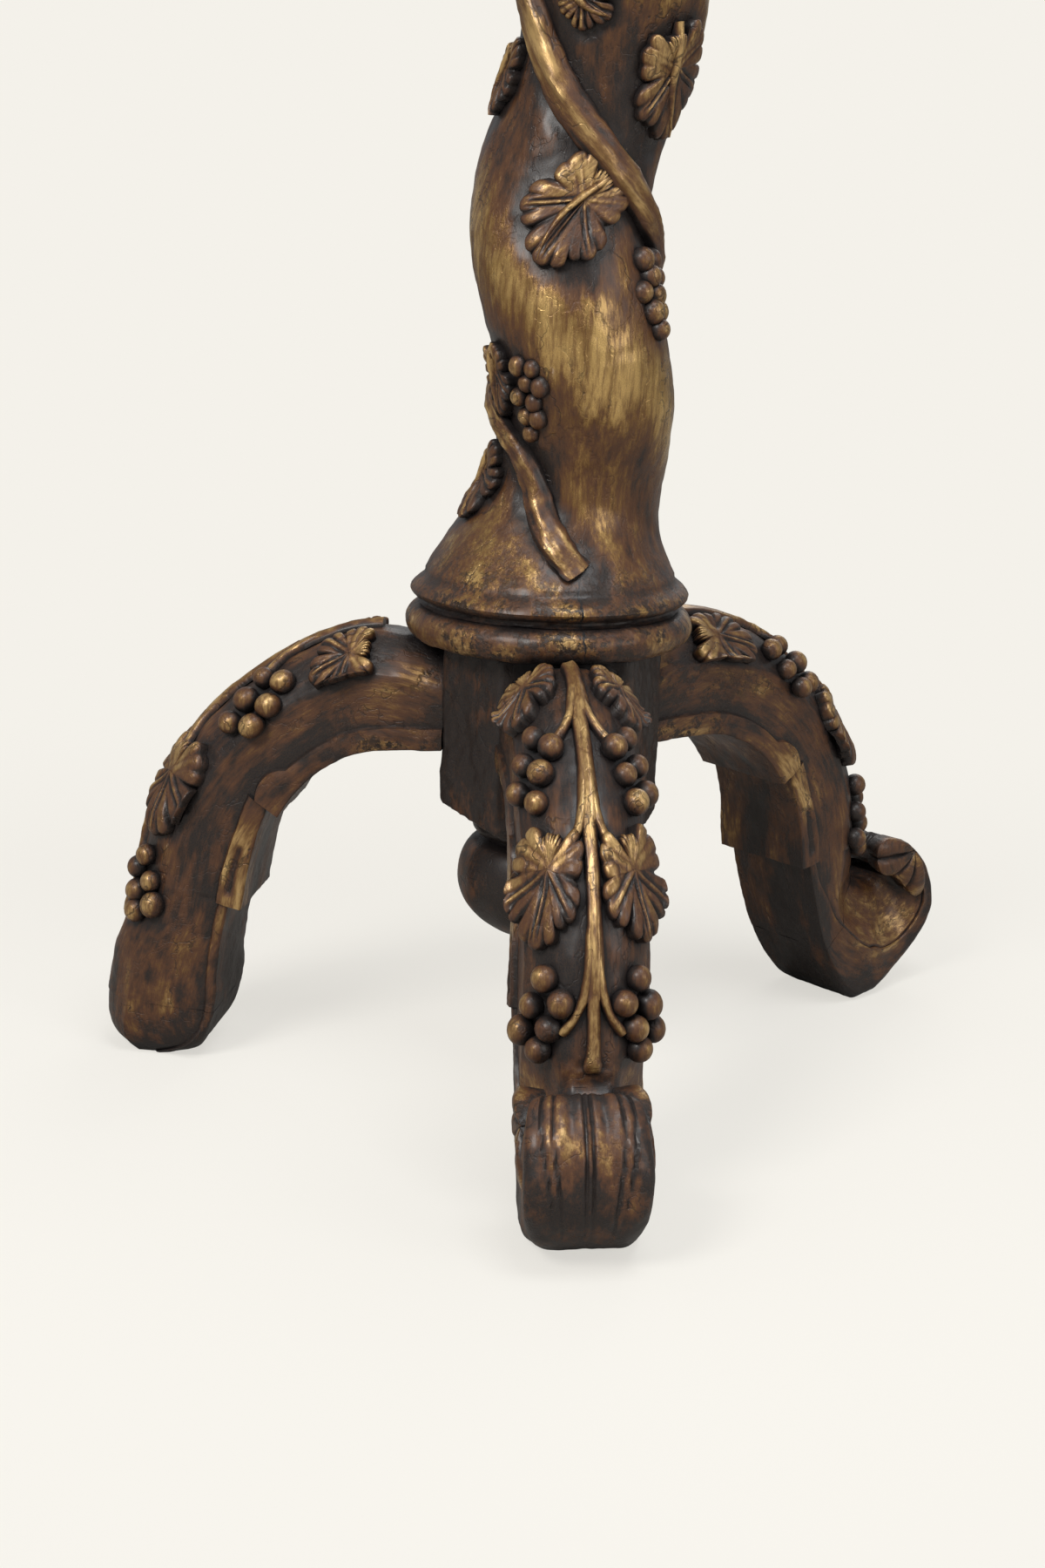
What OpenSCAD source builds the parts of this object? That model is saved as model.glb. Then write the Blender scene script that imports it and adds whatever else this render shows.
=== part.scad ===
// Torchere candle stand: a vine-wound twisted column on a three-legged carved base.
// Millimetres, +Z up. The origin is on the floor, straight below the hub's axis.
// Directions round the stand are turned from the front (-Y) towards +X.

/* [Overall] */
// Height of the platform's top face above the floor
stand_h = 1250; // [1150:10:1350]
// Width of the round platform
platform_d = 290; // [260:5:320]

/* [Column] */
// Radius of the twisted trunk
trunk_r = 54.5; // [52:0.5:60]
// How far the trunk's centre winds off its axis
twist_r = 12.5; // [4:0.5:16]
// Height of one full turn of the twist
twist_pitch = 261; // [220:1:300]
// Sideways bow of the old trunk at mid height
bow = 14; // [0:1:18]
// Radius of the flared foot of the trunk
foot_r = 87; // [80:1:88]
// Radius of the turned collar below it
collar_r = 90.6; // [89:0.2:94]

/* [Base] */
// Underside of the hub above the floor
hub_z = 173; // [160:1:180]
// Top of the hub, where the collar sits
hub_top = 290; // [290:1:296]
// Distance of the leg joints from the hub's axis
seat_r = 60; // [59:1:61]
// Distance of the hub's open faces from its axis
hub_face_r = 66; // [65:1:70]
// Largest radius of the pendant finial
pendant_r = 53; // [46:1:54]

/* [Legs] */
// Direction of each leg: front, left, right
leg_turn = [7.5, -98, 132.5]; // [-180:0.5:180]
// Extra reach of each hand-carved leg
leg_reach = [-16, -5, 18]; // [-20:1:24]
// Extra height of each leg's bend
leg_rise = [0, -2, 3]; // [-10:1:10]
// Extra height of each scroll
scroll_rise = [-5, 0, 6]; // [-8:1:8]
// Sideways swing of each scroll
scroll_swing = [-9, 0, 0]; // [-10:1:10]
// Width of a leg over its straps
leg_w = 79; // [76:1:84]
// Fall of the domed outer face from crest to flank
leg_dome = 24; // [16:1:26]
// Step at the end of each strap under the leg
strap_step = 9; // [4:1:10]

/* [Ornament] */
// Width of one carved grape
grape_d = 12; // [9:0.5:12]
// Height of a leaf above the ground it lies on
leaf_h = 6; // [4:0.5:8]
// Half width of the vine stem on a leg
stem_w = 6; // [4:0.5:8]
// Thickness of the vine round the column
vine_r = 9; // [6:0.5:11]

/* [Joinery] */
// Tenon between column and hub
tenon_d = 44; // [38:1:46]
// Tenon between column and platform
top_tenon_d = 36; // [30:1:40]
// Dowels between leg and hub
leg_dowel_d = 14; // [10:1:15]
// Dowels between leg and toe
toe_dowel_d = 10; // [8:1:12]
// Dowel that holds the pendant finial
pendant_dowel_d = 22; // [16:1:24]

/* [Hidden] */

FRONT = 0;
LEFT = 1;
RIGHT = 2;

gilt = "#8c6a35";
dark_gilt = "#5f4022";
bole = "#4a3020";
raw_wood = "#b48a5a";
iron = "#55504b";

eps = 0.4;             // least gap between a curved ground and the ornament on it
radian = 180 / PI;     // in degrees
platform_h = 24;
capital_h = 66;
neck_h = 14;
collar_h = 28;
column_z = hub_top + collar_h;
column_top = stand_h - platform_h - capital_h - neck_h;
neck_z = column_top;
capital_z = neck_z + neck_h;
platform_z = capital_z + capital_h;
flare_h = 80;          // height of the trunk's flared foot
flare_bend = 1.75;     // how hollow the flare is: at 1 it is a plain cone
lip_h = 4;             // upright edge under the flare
ease_h = 74;           // height over which the twist starts and stops
twist_z = 424;         // height where the trunk bulges towards +X
strap_band = 12;       // thickness of the strap edge on the flank
flank_in = 2;          // how far the flank stands behind the strap edge
span = 50;             // length along a leg of one station, about

// ---- Curves -------------------------------------------------------------

function smooth(x) = let (t = min(max(x, 0), 1)) t * t * (3 - 2 * t);

// A smooth curve through a list of points, at s = 0, 1, 2 ... on the points.
function curve(p, s) =
    let (n = len(p), i = min(floor(s), n - 2), f = s - i,
         a = p[max(i - 1, 0)], b = p[i], c = p[i + 1], d = p[min(i + 2, n - 1)])
    (2 * b + (c - a) * f + (2 * a - 5 * b + 4 * c - d) * f * f
     + (3 * b - a - 3 * c + d) * f * f * f) / 2;

// A solid through a stack of rings, each with the same number of points.
module loft(rings) {
    n = len(rings[0]);
    last = (len(rings) - 1) * n;
    sides = [for (i = [0 : len(rings) - 2], j = [0 : n - 1])
        let (a = i * n + j, b = i * n + (j + 1) % n)
        each [[a, a + n, b + n], [a, b + n, b]]];
    middles = [for (r = [rings[0], rings[len(rings) - 1]]) [for (p = r) 1] * r / n];
    ends = [for (j = [0 : n - 1]) let (k = (j + 1) % n)
        each [[j, k, last + n], [last + k, last + j, last + n + 1]]];
    polyhedron(concat([for (r = rings) each r], middles), concat(ends, sides));
}

// ---- Legs ---------------------------------------------------------------

// Outer and inner edge of a leg seen from its side: [distance out, height].
leg_outer = [[60, 285], [114, 293], [170, 272], [222, 230], [258, 172], [272, 110]];
leg_inner = [[60, 228], [110, 225], [140, 213], [171, 186], [192, 148], [205, 98]];
scroll_outer = [[275, 88], [288, 80], [296, 76], [300, 77], [302, 81], [303, 87], [301, 83]];
scroll_inner = [[226, 45], [264, 0], [316, 11], [344, 44], [338, 82], [312, 103], [297, 88]];
stump_outer = [[286, 72], [292, 38], [288, 13], [270, 0]];
stump_inner = [[210, 64], [212, 34], [222, 9], [238, 0]];
// Fall of the outer face towards its edges, as a share of leg_dome.
scroll_dome = [1, 1, 1, 1, 1, 1.25, 2.3, 3, 2.4, 1.85, 1.1, 0.35, 0];
stump_dome = [1, 1, 1, 1, 1, 1, 1, 0.9, 0.6, 0.2];
// Width along the leg, as a share of leg_w.
scroll_width = [1, 1, 1, 1, 1, 1, 0.98, 0.96, 0.96, 0.96, 0.93, 0.8, 0.45];
stump_width = [1, 1, 1, 1, 1, 1, 1, 1, 0.95, 0.75];

strap_end = [3.25, 4.75];  // stations where the two straps end

function outer_edge(leg) = concat(leg_outer, leg == LEFT ? stump_outer : scroll_outer);
function inner_edge(leg) = concat(leg_inner, leg == LEFT ? stump_inner : scroll_inner);
function toe_station(leg) = leg == LEFT ? 7 : 6;
function last_station(leg) = len(outer_edge(leg)) - 1;

// Each leg is carved by hand: moves a side-view point of the shared pattern.
function carved(leg, p, s) = [
    p.x + leg_reach[leg] * smooth((p.x - seat_r) / 140),
    max(p.y + leg_rise[leg] * (s < 6 ? sin(s * 30) : 0)
        + scroll_rise[leg] * smooth((s - 7) / 2), 0)
];
function outer_at(leg, s) = carved(leg, curve(outer_edge(leg), s), s);
function inner_at(leg, s) = carved(leg, curve(inner_edge(leg), s), s);
function dome_at(leg, s) = leg_dome * curve(leg == LEFT ? stump_dome : scroll_dome, s);
function width_at(leg, s) = curve(leg == LEFT ? stump_width : scroll_width, s) * leg_w / 2;
function swing_at(leg, s) = scroll_swing[leg] * smooth((s - toe_station(leg)) / 3);
function across(leg, s) = let (d = inner_at(leg, s) - outer_at(leg, s)) d / norm(d);

function strap_at(s) =
    s <= strap_end[0] ? strap_step
    : s <= strap_end[1] ? strap_step * (s - strap_end[0]) / (strap_end[1] - strap_end[0])
    : 0;

// Fall of the outer face at q, from -1 on one flank over 0 on the crest to 1. The sides of
// a scroll are scooped out from their rims to a web, whose half width is a share of the leg's.
web = 0.45;
function fall(leg, s, q) =
    let (scoop = leg == LEFT ? 0 : smooth((s - 5.2) / 1.2))
    dome_at(leg, s) * ((1 - scoop) * pow(abs(q), 2.6)
        + scoop * sqrt(max((abs(q) - web) / (1 - web), 0)));

// A point of the leg in the stand's frame, out along the leg, to its side and up.
function leg_frame(leg, out, side, up) =
    let (a = leg_turn[leg])
    [out * sin(a) + side * cos(a), side * sin(a) - out * cos(a), up];

// Point at h above the outer face. v is the distance from the crest to the side.
function leg_point(leg, s, v, h) =
    let (w = width_at(leg, s) - flank_in, q = min(max(v / w, -1), 1),
         slope = 2.6 * dome_at(leg, s) * pow(abs(q), 1.6) * sign(q) / w,
         k = h / sqrt(1 + slope * slope),
         p = outer_at(leg, s) + across(leg, s) * (fall(leg, s, q) - k))
    leg_frame(leg, p.x, v + slope * k, p.y);

// One cross-section: inner face, strap edges, flanks and domed outer face. The inner face
// is flat on the leg and rounded on the toe.
function leg_ring(leg, s) =
    let (w = width_at(leg, s), o = outer_at(leg, s), n = across(leg, s),
         deep = norm(inner_at(leg, s) - o) + strap_at(s),
         round = smooth((s - toe_station(leg)) / 2),
         side = deep - fall(leg, s, 1), band = min(strap_band, side * 0.6), flank = w - flank_in,
         half = concat(
             [[w * (1 - 0.5 * round) - 1, deep], [w * (1 - 0.16 * round), deep - band * 0.3],
              [w, deep - band], [flank, deep - band - side * 0.1]],
             [for (k = [0 : 4]) let (q = cos(k * 22.5)) [flank * q, fall(leg, s, q)]]),
         m = len(half),
         ring = concat(half, [for (k = [m - 2 : -1 : 0]) [-half[k].x, half[k].y]]))
    [for (p = ring) let (e = o + n * p.y) leg_frame(leg, e.x, p.x + swing_at(leg, s), e.y)];

module leg_body(leg, from, to) {
    stations = [
        for (s = [from : 0.25 : to]) each
            s == strap_end[0] || s == strap_end[1] ? [s, s + 0.02] : [s]
    ];
    loft([for (s = stations) leg_ring(leg, s)]);
}

// Places children in a leg's own frame, with x pointing out along the leg.
module along_leg(leg) rotate([0, 0, leg_turn[leg] - 90]) children();

leg_dowel_z = 256;
leg_dowel_side = 17;
leg_dowel_half = 28;    // length in the leg and in the hub
pocket = 1;             // room left at the end of a blind hole

module leg_dowel_pair(leg, d, half) {
    along_leg(leg) for (side = [-1, 1])
        translate([seat_r - half, side * leg_dowel_side, leg_dowel_z])
            rotate([0, 90, 0]) cylinder(d = d, h = 2 * half, $fn = 48);
}

// The toe's dowel stands square to the joint, at this share of the leg's thickness.
toe_dowel_deep = [0.55, 0.65, 0.55];
toe_dowel_half = 16;
module toe_dowel(leg, half) {
    s = toe_station(leg);
    o = outer_at(leg, s);
    i = inner_at(leg, s);
    c = o + (i - o) * toe_dowel_deep[leg];
    n = across(leg, s);
    along_leg(leg) translate([c.x, 0, c.y]) rotate([0, atan2(n.x, n.y) + 90, 0])
        cylinder(d = toe_dowel_d, h = 2 * half, center = true, $fn = 48);
}

module leg(leg) {
    color(dark_gilt) difference() {
        leg_body(leg, 0, toe_station(leg));
        leg_dowel_pair(leg, leg_dowel_d, leg_dowel_half + pocket);
        toe_dowel(leg, toe_dowel_half + pocket);
    }
}

module toe(leg) {
    color(dark_gilt) difference() {
        leg_body(leg, toe_station(leg), last_station(leg));
        toe_dowel(leg, toe_dowel_half + pocket);
    }
}

module leg_front() leg(FRONT);
module leg_left() leg(LEFT);
module leg_right() leg(RIGHT);
module toe_front() toe(FRONT);
module toe_left() toe(LEFT);
module toe_right() toe(RIGHT);

module leg_dowels() {
    color(raw_wood) for (leg = [FRONT, LEFT, RIGHT])
        leg_dowel_pair(leg, leg_dowel_d, leg_dowel_half);
}

module toe_dowels() {
    color(raw_wood) for (leg = [FRONT, LEFT, RIGHT]) toe_dowel(leg, toe_dowel_half);
}

// ---- Ornament -----------------------------------------------------------
// Each ground gives a point for a distance down, a distance aside and a height.

// A round-backed strip that follows a path of [down, aside, half width, height].
module strip(ground, path) {
    loft([for (p = path) [
        ground(p[0], p[1], eps), ground(p[0], p[1] + p[2], eps),
        ground(p[0], p[1] + p[2] * 0.6, eps + p[3] * 0.8), ground(p[0], p[1], eps + p[3]),
        ground(p[0], p[1] - p[2] * 0.6, eps + p[3] * 0.8), ground(p[0], p[1] - p[2], eps)
    ]]);
}

// A vine leaf of five lobes, notched at its stalk, that lies on the ground.
leaf_edge = 20;
module leaf(ground, down, aside, long, wide, turn) {
    function edge(a) = 0.72 + 0.28 * pow(abs(cos(2.5 * a)), 0.7);
    function at(a, part, h) =
        let (u = cos(a) * edge(a) * long / 2 * part, v = sin(a) * edge(a) * wide / 2 * part)
        ground(down + u * cos(turn) - v * sin(turn), aside + u * sin(turn) + v * cos(turn), h);
    step = 360 / leaf_edge;
    turns = [for (k = [0 : leaf_edge - 1]) k * step];
    rings = [
        [for (a = turns) at(a, 0.1, eps)],
        [for (a = turns) at(a, 0.5, eps)],
        [for (a = turns) at(a, 1, eps)],
        [for (a = turns) at(a, 0.92, eps + leaf_h)],
        [for (a = turns) at(a, 0.4, eps + leaf_h * 0.7)]
    ];
    loft(rings);
}

// A grape: a ball cut flat where it sits on the ground.
module grape(ground, down, aside) {
    foot = ground(down, aside, eps);
    square = cross(ground(down + 1, aside, eps) - foot, ground(down, aside + 1, eps) - foot);
    n = square * sign(square * (ground(down, aside, eps + 1) - foot));
    translate(foot) rotate([0, acos(n.z / norm(n)), atan2(n.y, n.x)]) intersection() {
        translate([0, 0, grape_d * 0.15]) sphere(d = grape_d, $fn = 32);
        translate([0, 0, grape_d]) cube(2 * grape_d, center = true);
    }
}

// A hanging bunch of grapes: each is [down, aside] from the bunch's middle.
bunch_5 = [[-19, 0], [-8, -7], [-6, 7], [6, -2], [18, 3]];
bunch_8 = [[-22, -6], [-21, 7], [-9, 0], [-8, 14], [3, -8], [4, 7], [16, 1], [29, 0]];
module bunch(ground, down, aside, grapes) {
    for (g = grapes) grape(ground, down + g[0], aside + g[1]);
}

// ---- Ornament on the legs: distances down run from the hub ---------------

leaf_down = [68, 180];       // upper and lower leaf on each shoulder
bunch_down = [125, 238];     // upper and lower bunch on each shoulder
upper_slip = [0, 0, -8];     // each leg's upper leaf and bunch sit this much further down
lower_slip = [0, 8, -8];     // and its lower leaf and bunch this much
leaf_aside = [27, 24];       // distance of the upper and lower leaves from the crest
bunch_aside = 24;            // distance of the bunches from the crest
upper_aside = [0, 4, 3];     // each leg's upper leaf and bunch stand this much further off

function leg_ground(leg) = function (down, aside, h) leg_point(leg, down / span, aside, h);

module stem(leg) {
    color(gilt) strip(leg_ground(leg), [for (d = [46 : 12.5 : 271])
        [d, 0, d > 260 ? stem_w * 0.5 : stem_w, 5]]);
}

module leg_leaves(leg) {
    color(gilt) for (side = [-1, 1]) {
        leaf(leg_ground(leg), leaf_down[0] + upper_slip[leg],
            side * (leaf_aside[0] + upper_aside[leg]), 42, 26 - upper_aside[leg], side * 8);
        leaf(leg_ground(leg), leaf_down[1] + lower_slip[leg], side * leaf_aside[1],
            50, 28, side * 8);
    }
}

module leg_grapes(leg) {
    slip = [upper_slip[leg], lower_slip[leg]];
    off = [bunch_aside + upper_aside[leg], bunch_aside];
    color(gilt) for (side = [-1, 1], k = [0, 1])
        bunch(leg_ground(leg), bunch_down[k] + slip[k], side * off[k],
            [for (g = bunch_5) [g[0], side * g[1]]]);
}

module stem_front() stem(FRONT);
module stem_left() stem(LEFT);
module stem_right() stem(RIGHT);
module leaves_front() leg_leaves(FRONT);
module leaves_left() leg_leaves(LEFT);
module leaves_right() leg_leaves(RIGHT);
module grapes_front() leg_grapes(FRONT);
module grapes_left() leg_grapes(LEFT);
module grapes_right() leg_grapes(RIGHT);

// ---- Hub, pendant and collar --------------------------------------------

open_faces = [
    (leg_turn[FRONT] + leg_turn[LEFT]) / 2,
    (leg_turn[FRONT] + leg_turn[RIGHT]) / 2,
    (leg_turn[LEFT] + leg_turn[RIGHT] - 360) / 2
];
tenon_deep = 72;
pendant_dowel_h = 64;

// A face of the hub: everything further out than r in direction a.
module cut_beyond(r, a) {
    cut = 200;
    rotate([0, 0, a - 90]) translate([r, -cut / 2, hub_z - 1]) cube(cut);
}

module hub() {
    color(bole) difference() {
        translate([0, 0, hub_z]) rotate_extrude($fn = 96)
            polygon([[0, 0], [67, 0], [76, 12], [76, hub_top - hub_z], [0, hub_top - hub_z]]);
        for (a = leg_turn) cut_beyond(seat_r, a);
        for (a = open_faces) cut_beyond(hub_face_r, a);
        for (leg = [FRONT, LEFT, RIGHT])
            leg_dowel_pair(leg, leg_dowel_d, leg_dowel_half + pocket);
        translate([0, 0, hub_top - tenon_deep - pocket])
            cylinder(d = tenon_d, h = tenon_deep + 2, $fn = 96);
        translate([0, 0, hub_z - 1])
            cylinder(d = pendant_dowel_d, h = pendant_dowel_h / 2 + 1 + pocket, $fn = 64);
    }
}

pendant_h = 78;
pendant_belly = 38;    // depth of its widest place below the hub
module pendant_finial() {
    profile = [for (k = [0 : 12]) let (t = k * 7.5)
        [8 + (pendant_r - 8) * sin(t), -pendant_h + (pendant_h - pendant_belly) * (1 - cos(t))]];
    shoulder_arc = [for (k = [1 : 6]) let (t = k * 15)
        [pendant_r - 9 * (1 - cos(t)), -pendant_belly + 24 * sin(t)]];
    color(bole) translate([0, 0, hub_z]) difference() {
        rotate_extrude($fn = 96) polygon(concat([[0, -pendant_h]], profile, shoulder_arc,
            [[38, -10], [44, -6], [44, 0], [0, 0]]));
        translate([0, 0, -pendant_dowel_h / 2 - pocket])
            cylinder(d = pendant_dowel_d, h = pendant_dowel_h, $fn = 64);
    }
}

module pendant_dowel() {
    color(raw_wood) translate([0, 0, hub_z - pendant_dowel_h / 2])
        cylinder(d = pendant_dowel_d, h = pendant_dowel_h, $fn = 64);
}

module collar() {
    roll = 11;     // radius of the collar's round edge
    edge = [for (k = [-4 : 5]) [collar_r - roll + roll * cos(k * 18), 12 + roll * sin(k * 18)]];
    color(gilt) translate([0, 0, hub_top]) difference() {
        rotate_extrude($fn = 128) polygon(concat([[0, 0], [76, 0]], edge,
            [[76, 24], [79, collar_h], [0, collar_h]]));
        translate([0, 0, -1]) cylinder(d = tenon_d, h = collar_h + 2, $fn = 96);
    }
}

// ---- Column -------------------------------------------------------------

function twist_share(z) =
    min(smooth((z - column_z) / ease_h), smooth((column_top - z) / ease_h));
function trunk_centre(z) =
    let (a = 360 * (twist_z - z) / twist_pitch, w = twist_r * twist_share(z))
    [w * cos(a) + bow * sin(180 * (z - column_z) / (column_top - column_z)), w * sin(a)];
taper = 6;             // how much thinner the trunk gets at its top
taper_h = 80;
function trunk_radius(z) =
    let (up = z - column_z - lip_h, down = column_top - z)
    up < flare_h ? trunk_r + (foot_r - trunk_r) * pow(1 - max(up, 0) / flare_h, flare_bend)
    : trunk_r - taper * (1 - smooth(down / taper_h));

// Point at h outside the trunk, in direction a round its own centre.
function trunk_point(a, z, h) =
    let (c = trunk_centre(z), r = trunk_radius(z) + h)
    [c.x + r * sin(a), c.y - r * cos(a), z];

trunk_sides = 24;
module trunk() {
    heights = concat([column_z, column_z + lip_h],
        [for (k = [1 : 10]) column_z + lip_h + flare_h * k / 10],
        [for (k = [1 : 59]) let (z0 = column_z + lip_h + flare_h)
            z0 + (column_top - z0) * k / 59]);
    loft([for (z = heights)
        [for (k = [0 : trunk_sides - 1]) trunk_point(k * 360 / trunk_sides, z, 0)]]);
}

top_tenon_deep = 60;
module column() {
    color(gilt) difference() {
        trunk();
        translate([0, 0, column_z - 1])
            cylinder(d = tenon_d, h = tenon_deep + 1 + pocket, $fn = 96);
        translate([0, 0, column_top - top_tenon_deep - pocket])
            cylinder(d = top_tenon_d, h = top_tenon_deep + 2, $fn = 96);
    }
}

module column_tenon() {
    color(raw_wood) translate([0, 0, hub_top - tenon_deep])
        cylinder(d = tenon_d, h = 2 * tenon_deep + collar_h, $fn = 96);
}

// The vine's way round the trunk from its broken foot upwards: [direction, height].
vine_path = [
    [17, 342], [6, 354], [-13, 376], [-35, 404], [-58, 422], [-90, 440], [-140, 466],
    [-205, 498], [-262, 530], [-303, 562], [-342, 594], [-384, 632], [-427, 683],
    [-468, 722], [-520, 762], [-570, 800], [-620, 838], [-672, 878], [-724, 918],
    [-776, 956], [-828, 994], [-880, 1032], [-932, 1068], [-975, 1096]
];
// Thickness of the vine at each of those places, as a share of vine_r.
vine_size = [1, 1, 1, 0.9, 0.8, 0.8, 0.8, 0.8, 0.9, 1, 1, 1, 1,
    0.9, 0.9, 0.9, 0.9, 0.9, 0.9, 0.9, 0.8, 0.7, 0.6, 0.4];

// One length of the vine: a round-backed bar laid on the trunk.
module vine(from, to) {
    steps = round((to - from) * 5);
    lift = 2 * eps;
    loft([for (k = [0 : steps])
        let (s = from + (to - from) * k / steps, p = curve(vine_path, s),
             d = curve(vine_path, min(s + 0.05, len(vine_path) - 1))
                 - curve(vine_path, max(s - 0.05, 0)),
             r = vine_r * curve(vine_size, s), run = [d.x * trunk_r / radian, d.y],
             side = [run.y, -run.x] / norm(run))
        concat([for (a = [180 : -30 : 0])
            trunk_point(p.x + side.x * r * cos(a) * radian / trunk_r, p.y + side.y * r * cos(a),
                lift + r * 0.9 * sin(a))],
            [trunk_point(p.x, p.y, lift)])]);
}

module vine_lower() color(gilt) vine(0, 7);
module vine_middle() color(gilt) vine(7, 15);
module vine_upper() color(gilt) vine(15, 23);

// Ground of the trunk round one place: distances in millimetres from it.
function trunk_ground(a, z) =
    function (down, aside, h) trunk_point(a + aside * radian / trunk_r, z - down, h + eps);

// Leaves on the trunk: [direction, height, long, wide, turn].
leaves_low = [
    [-66, 464, 42, 28, 8], [-78, 390, 48, 40, 20],
    [5, 550, 64, 58, -38], [54, 632, 70, 52, -20], [-76, 632, 46, 30, 0],
    [-16, 676, 32, 26, 60], [150, 440, 56, 44, 20], [134, 384, 44, 36, -20],
    [205, 560, 60, 46, 30]
];
leaves_high = [
    [130, 716, 58, 46, -20], [-120, 794, 60, 46, 20], [15, 800, 62, 50, -25],
    [100, 906, 56, 44, 25], [-60, 870, 60, 48, 10], [170, 880, 60, 46, -20],
    [16, 976, 58, 46, 30], [-100, 1060, 56, 44, 0], [118, 1016, 50, 40, -15]
];
bunches_low = [[64, 511], [-38, 458], [180, 640]];
bunches_high = [[-30, 742], [80, 776], [-140, 900], [66, 966], [-30, 1050]];

module trunk_leaves(places) {
    color(gilt) for (p = places)
        leaf(trunk_ground(p[0], p[1]), 0, 0, p[2], p[3], p[4]);
}

module trunk_grapes(places) {
    color(gilt) for (p = places) bunch(trunk_ground(p[0], p[1]), 0, 0, bunch_8);
}

module column_leaves_lower() trunk_leaves(leaves_low);
module column_leaves_upper() trunk_leaves(leaves_high);
module column_grapes_lower() trunk_grapes(bunches_low);
module column_grapes_upper() trunk_grapes(bunches_high);

// ---- Top ----------------------------------------------------------------

module neck_ring() {
    color(gilt) translate([0, 0, neck_z]) difference() {
        rotate_extrude($fn = 96) polygon(concat([[0, 0]],
            [for (k = [-5 : 5]) [55 + 7 * cos(k * 18), 7 + 7 * sin(k * 18)]], [[0, neck_h]]));
        translate([0, 0, -1]) cylinder(d = top_tenon_d, h = neck_h + 2, $fn = 96);
    }
}

abacus_h = 14;
abacus_r = 96;
bell_h = capital_h - abacus_h;
function bell_radius(z) = 48 + 40 * pow(z / bell_h, 2.2);

screw_ring_r = 72;
screw_d = 5;
screw_head_d = 9.5;
screw_h = 30;
screw_sink = 12;       // depth of the screws' heads below the platform
module at_screws() {
    for (a = [45 : 90 : 315]) rotate([0, 0, a]) translate([screw_ring_r, 0, 0]) children();
}

module capital() {
    bell = [for (k = [0 : 10]) let (z = bell_h * k / 10) [bell_radius(z), z]];
    color(gilt) difference() {
        translate([0, 0, capital_z]) rotate_extrude($fn = 96)
            polygon(concat([[0, 0]], bell,
                [[abacus_r - 4, bell_h], [abacus_r, bell_h + 4], [abacus_r, capital_h],
                 [0, capital_h]]));
        translate([0, 0, capital_z - 1])
            cylinder(d = top_tenon_d, h = capital_h + 2, $fn = 96);
        at_screws() translate([0, 0, platform_z - screw_sink - 18]) {
            cylinder(d = screw_head_d + 1, h = 18, $fn = 32);
            cylinder(d = screw_d, h = 18 + screw_sink + 1, $fn = 32);
        }
    }
}

capital_leaf_up = 26;  // height of the leaves' middles on the bell
module capital_leaves() {
    mean_r = 60;
    ground = function (a) function (down, aside, h)
        let (up = capital_leaf_up - down, r = bell_radius(min(max(up, 0), bell_h)) + h + 1,
             t = a + aside * radian / mean_r)
        [r * sin(t), -r * cos(t), capital_z + up];
    color(gilt) for (a = [0 : 45 : 315]) leaf(ground(a), 0, 0, 40, 30, 180);
}

top_tenon_in = 14;
module top_tenon() {
    color(raw_wood) translate([0, 0, column_top - top_tenon_deep])
        cylinder(d = top_tenon_d,
            h = top_tenon_deep + neck_h + capital_h + top_tenon_in, $fn = 96);
}

edge_r = 12;           // radius of the platform's round edge
tray_r = platform_d / 2 - edge_r;
rim_w = 8;
rebate = 2;            // the rim stands in a rebate, this far below the top face
module platform() {
    edge = [for (k = [-4 : 3]) [tray_r + edge_r * cos(k * 18), edge_r + edge_r * sin(k * 18)]];
    color(dark_gilt) difference() {
        translate([0, 0, platform_z]) rotate_extrude($fn = 160)
            polygon(concat([[0, 0], [tray_r, 0]], edge,
                [[tray_r, platform_h - rebate], [tray_r - rim_w, platform_h - rebate],
                 [tray_r - rim_w, platform_h], [0, platform_h]]));
        translate([0, 0, platform_z - 1])
            cylinder(d = top_tenon_d, h = top_tenon_in + 1 + pocket, $fn = 96);
        at_screws() translate([0, 0, platform_z - 1])
            cylinder(d = screw_d, h = screw_h - screw_sink + 1 + pocket, $fn = 32);
    }
}

module platform_rim() {
    bead = rim_w / 2;
    color(gilt) translate([0, 0, stand_h - rebate]) rotate_extrude($fn = 160)
        polygon(concat([[tray_r - rim_w, 0]],
            [for (k = [0 : 8])
                [tray_r - bead - bead * cos(k * 22.5), rebate + bead * sin(k * 22.5)]],
            [[tray_r, 0]]));
}

module platform_screws() {
    color(iron) at_screws() translate([0, 0, platform_z - screw_sink]) {
        cylinder(d = screw_d, h = screw_h, $fn = 32);
        difference() {
            translate([0, 0, -4]) cylinder(d = screw_head_d, h = 4, $fn = 32);
            translate([-screw_head_d, -0.6, -5]) cube([2 * screw_head_d, 1.2, 2.2]);
        }
    }
}

hub();
pendant_finial();
pendant_dowel();
leg_front();
leg_left();
leg_right();
toe_front();
toe_left();
toe_right();
leg_dowels();
toe_dowels();
stem_front();
stem_left();
stem_right();
leaves_front();
leaves_left();
leaves_right();
grapes_front();
grapes_left();
grapes_right();
collar();
column();
column_tenon();
vine_lower();
vine_middle();
vine_upper();
column_leaves_lower();
column_leaves_upper();
column_grapes_lower();
column_grapes_upper();
neck_ring();
capital();
capital_leaves();
top_tenon();
platform();
platform_rim();
platform_screws();
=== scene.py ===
"""Torchere candle stand: a vine-wound twisted column on three carved, gilded and worn legs."""

import math
import random

import bpy
from mathutils import Matrix, Vector, noise


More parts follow.
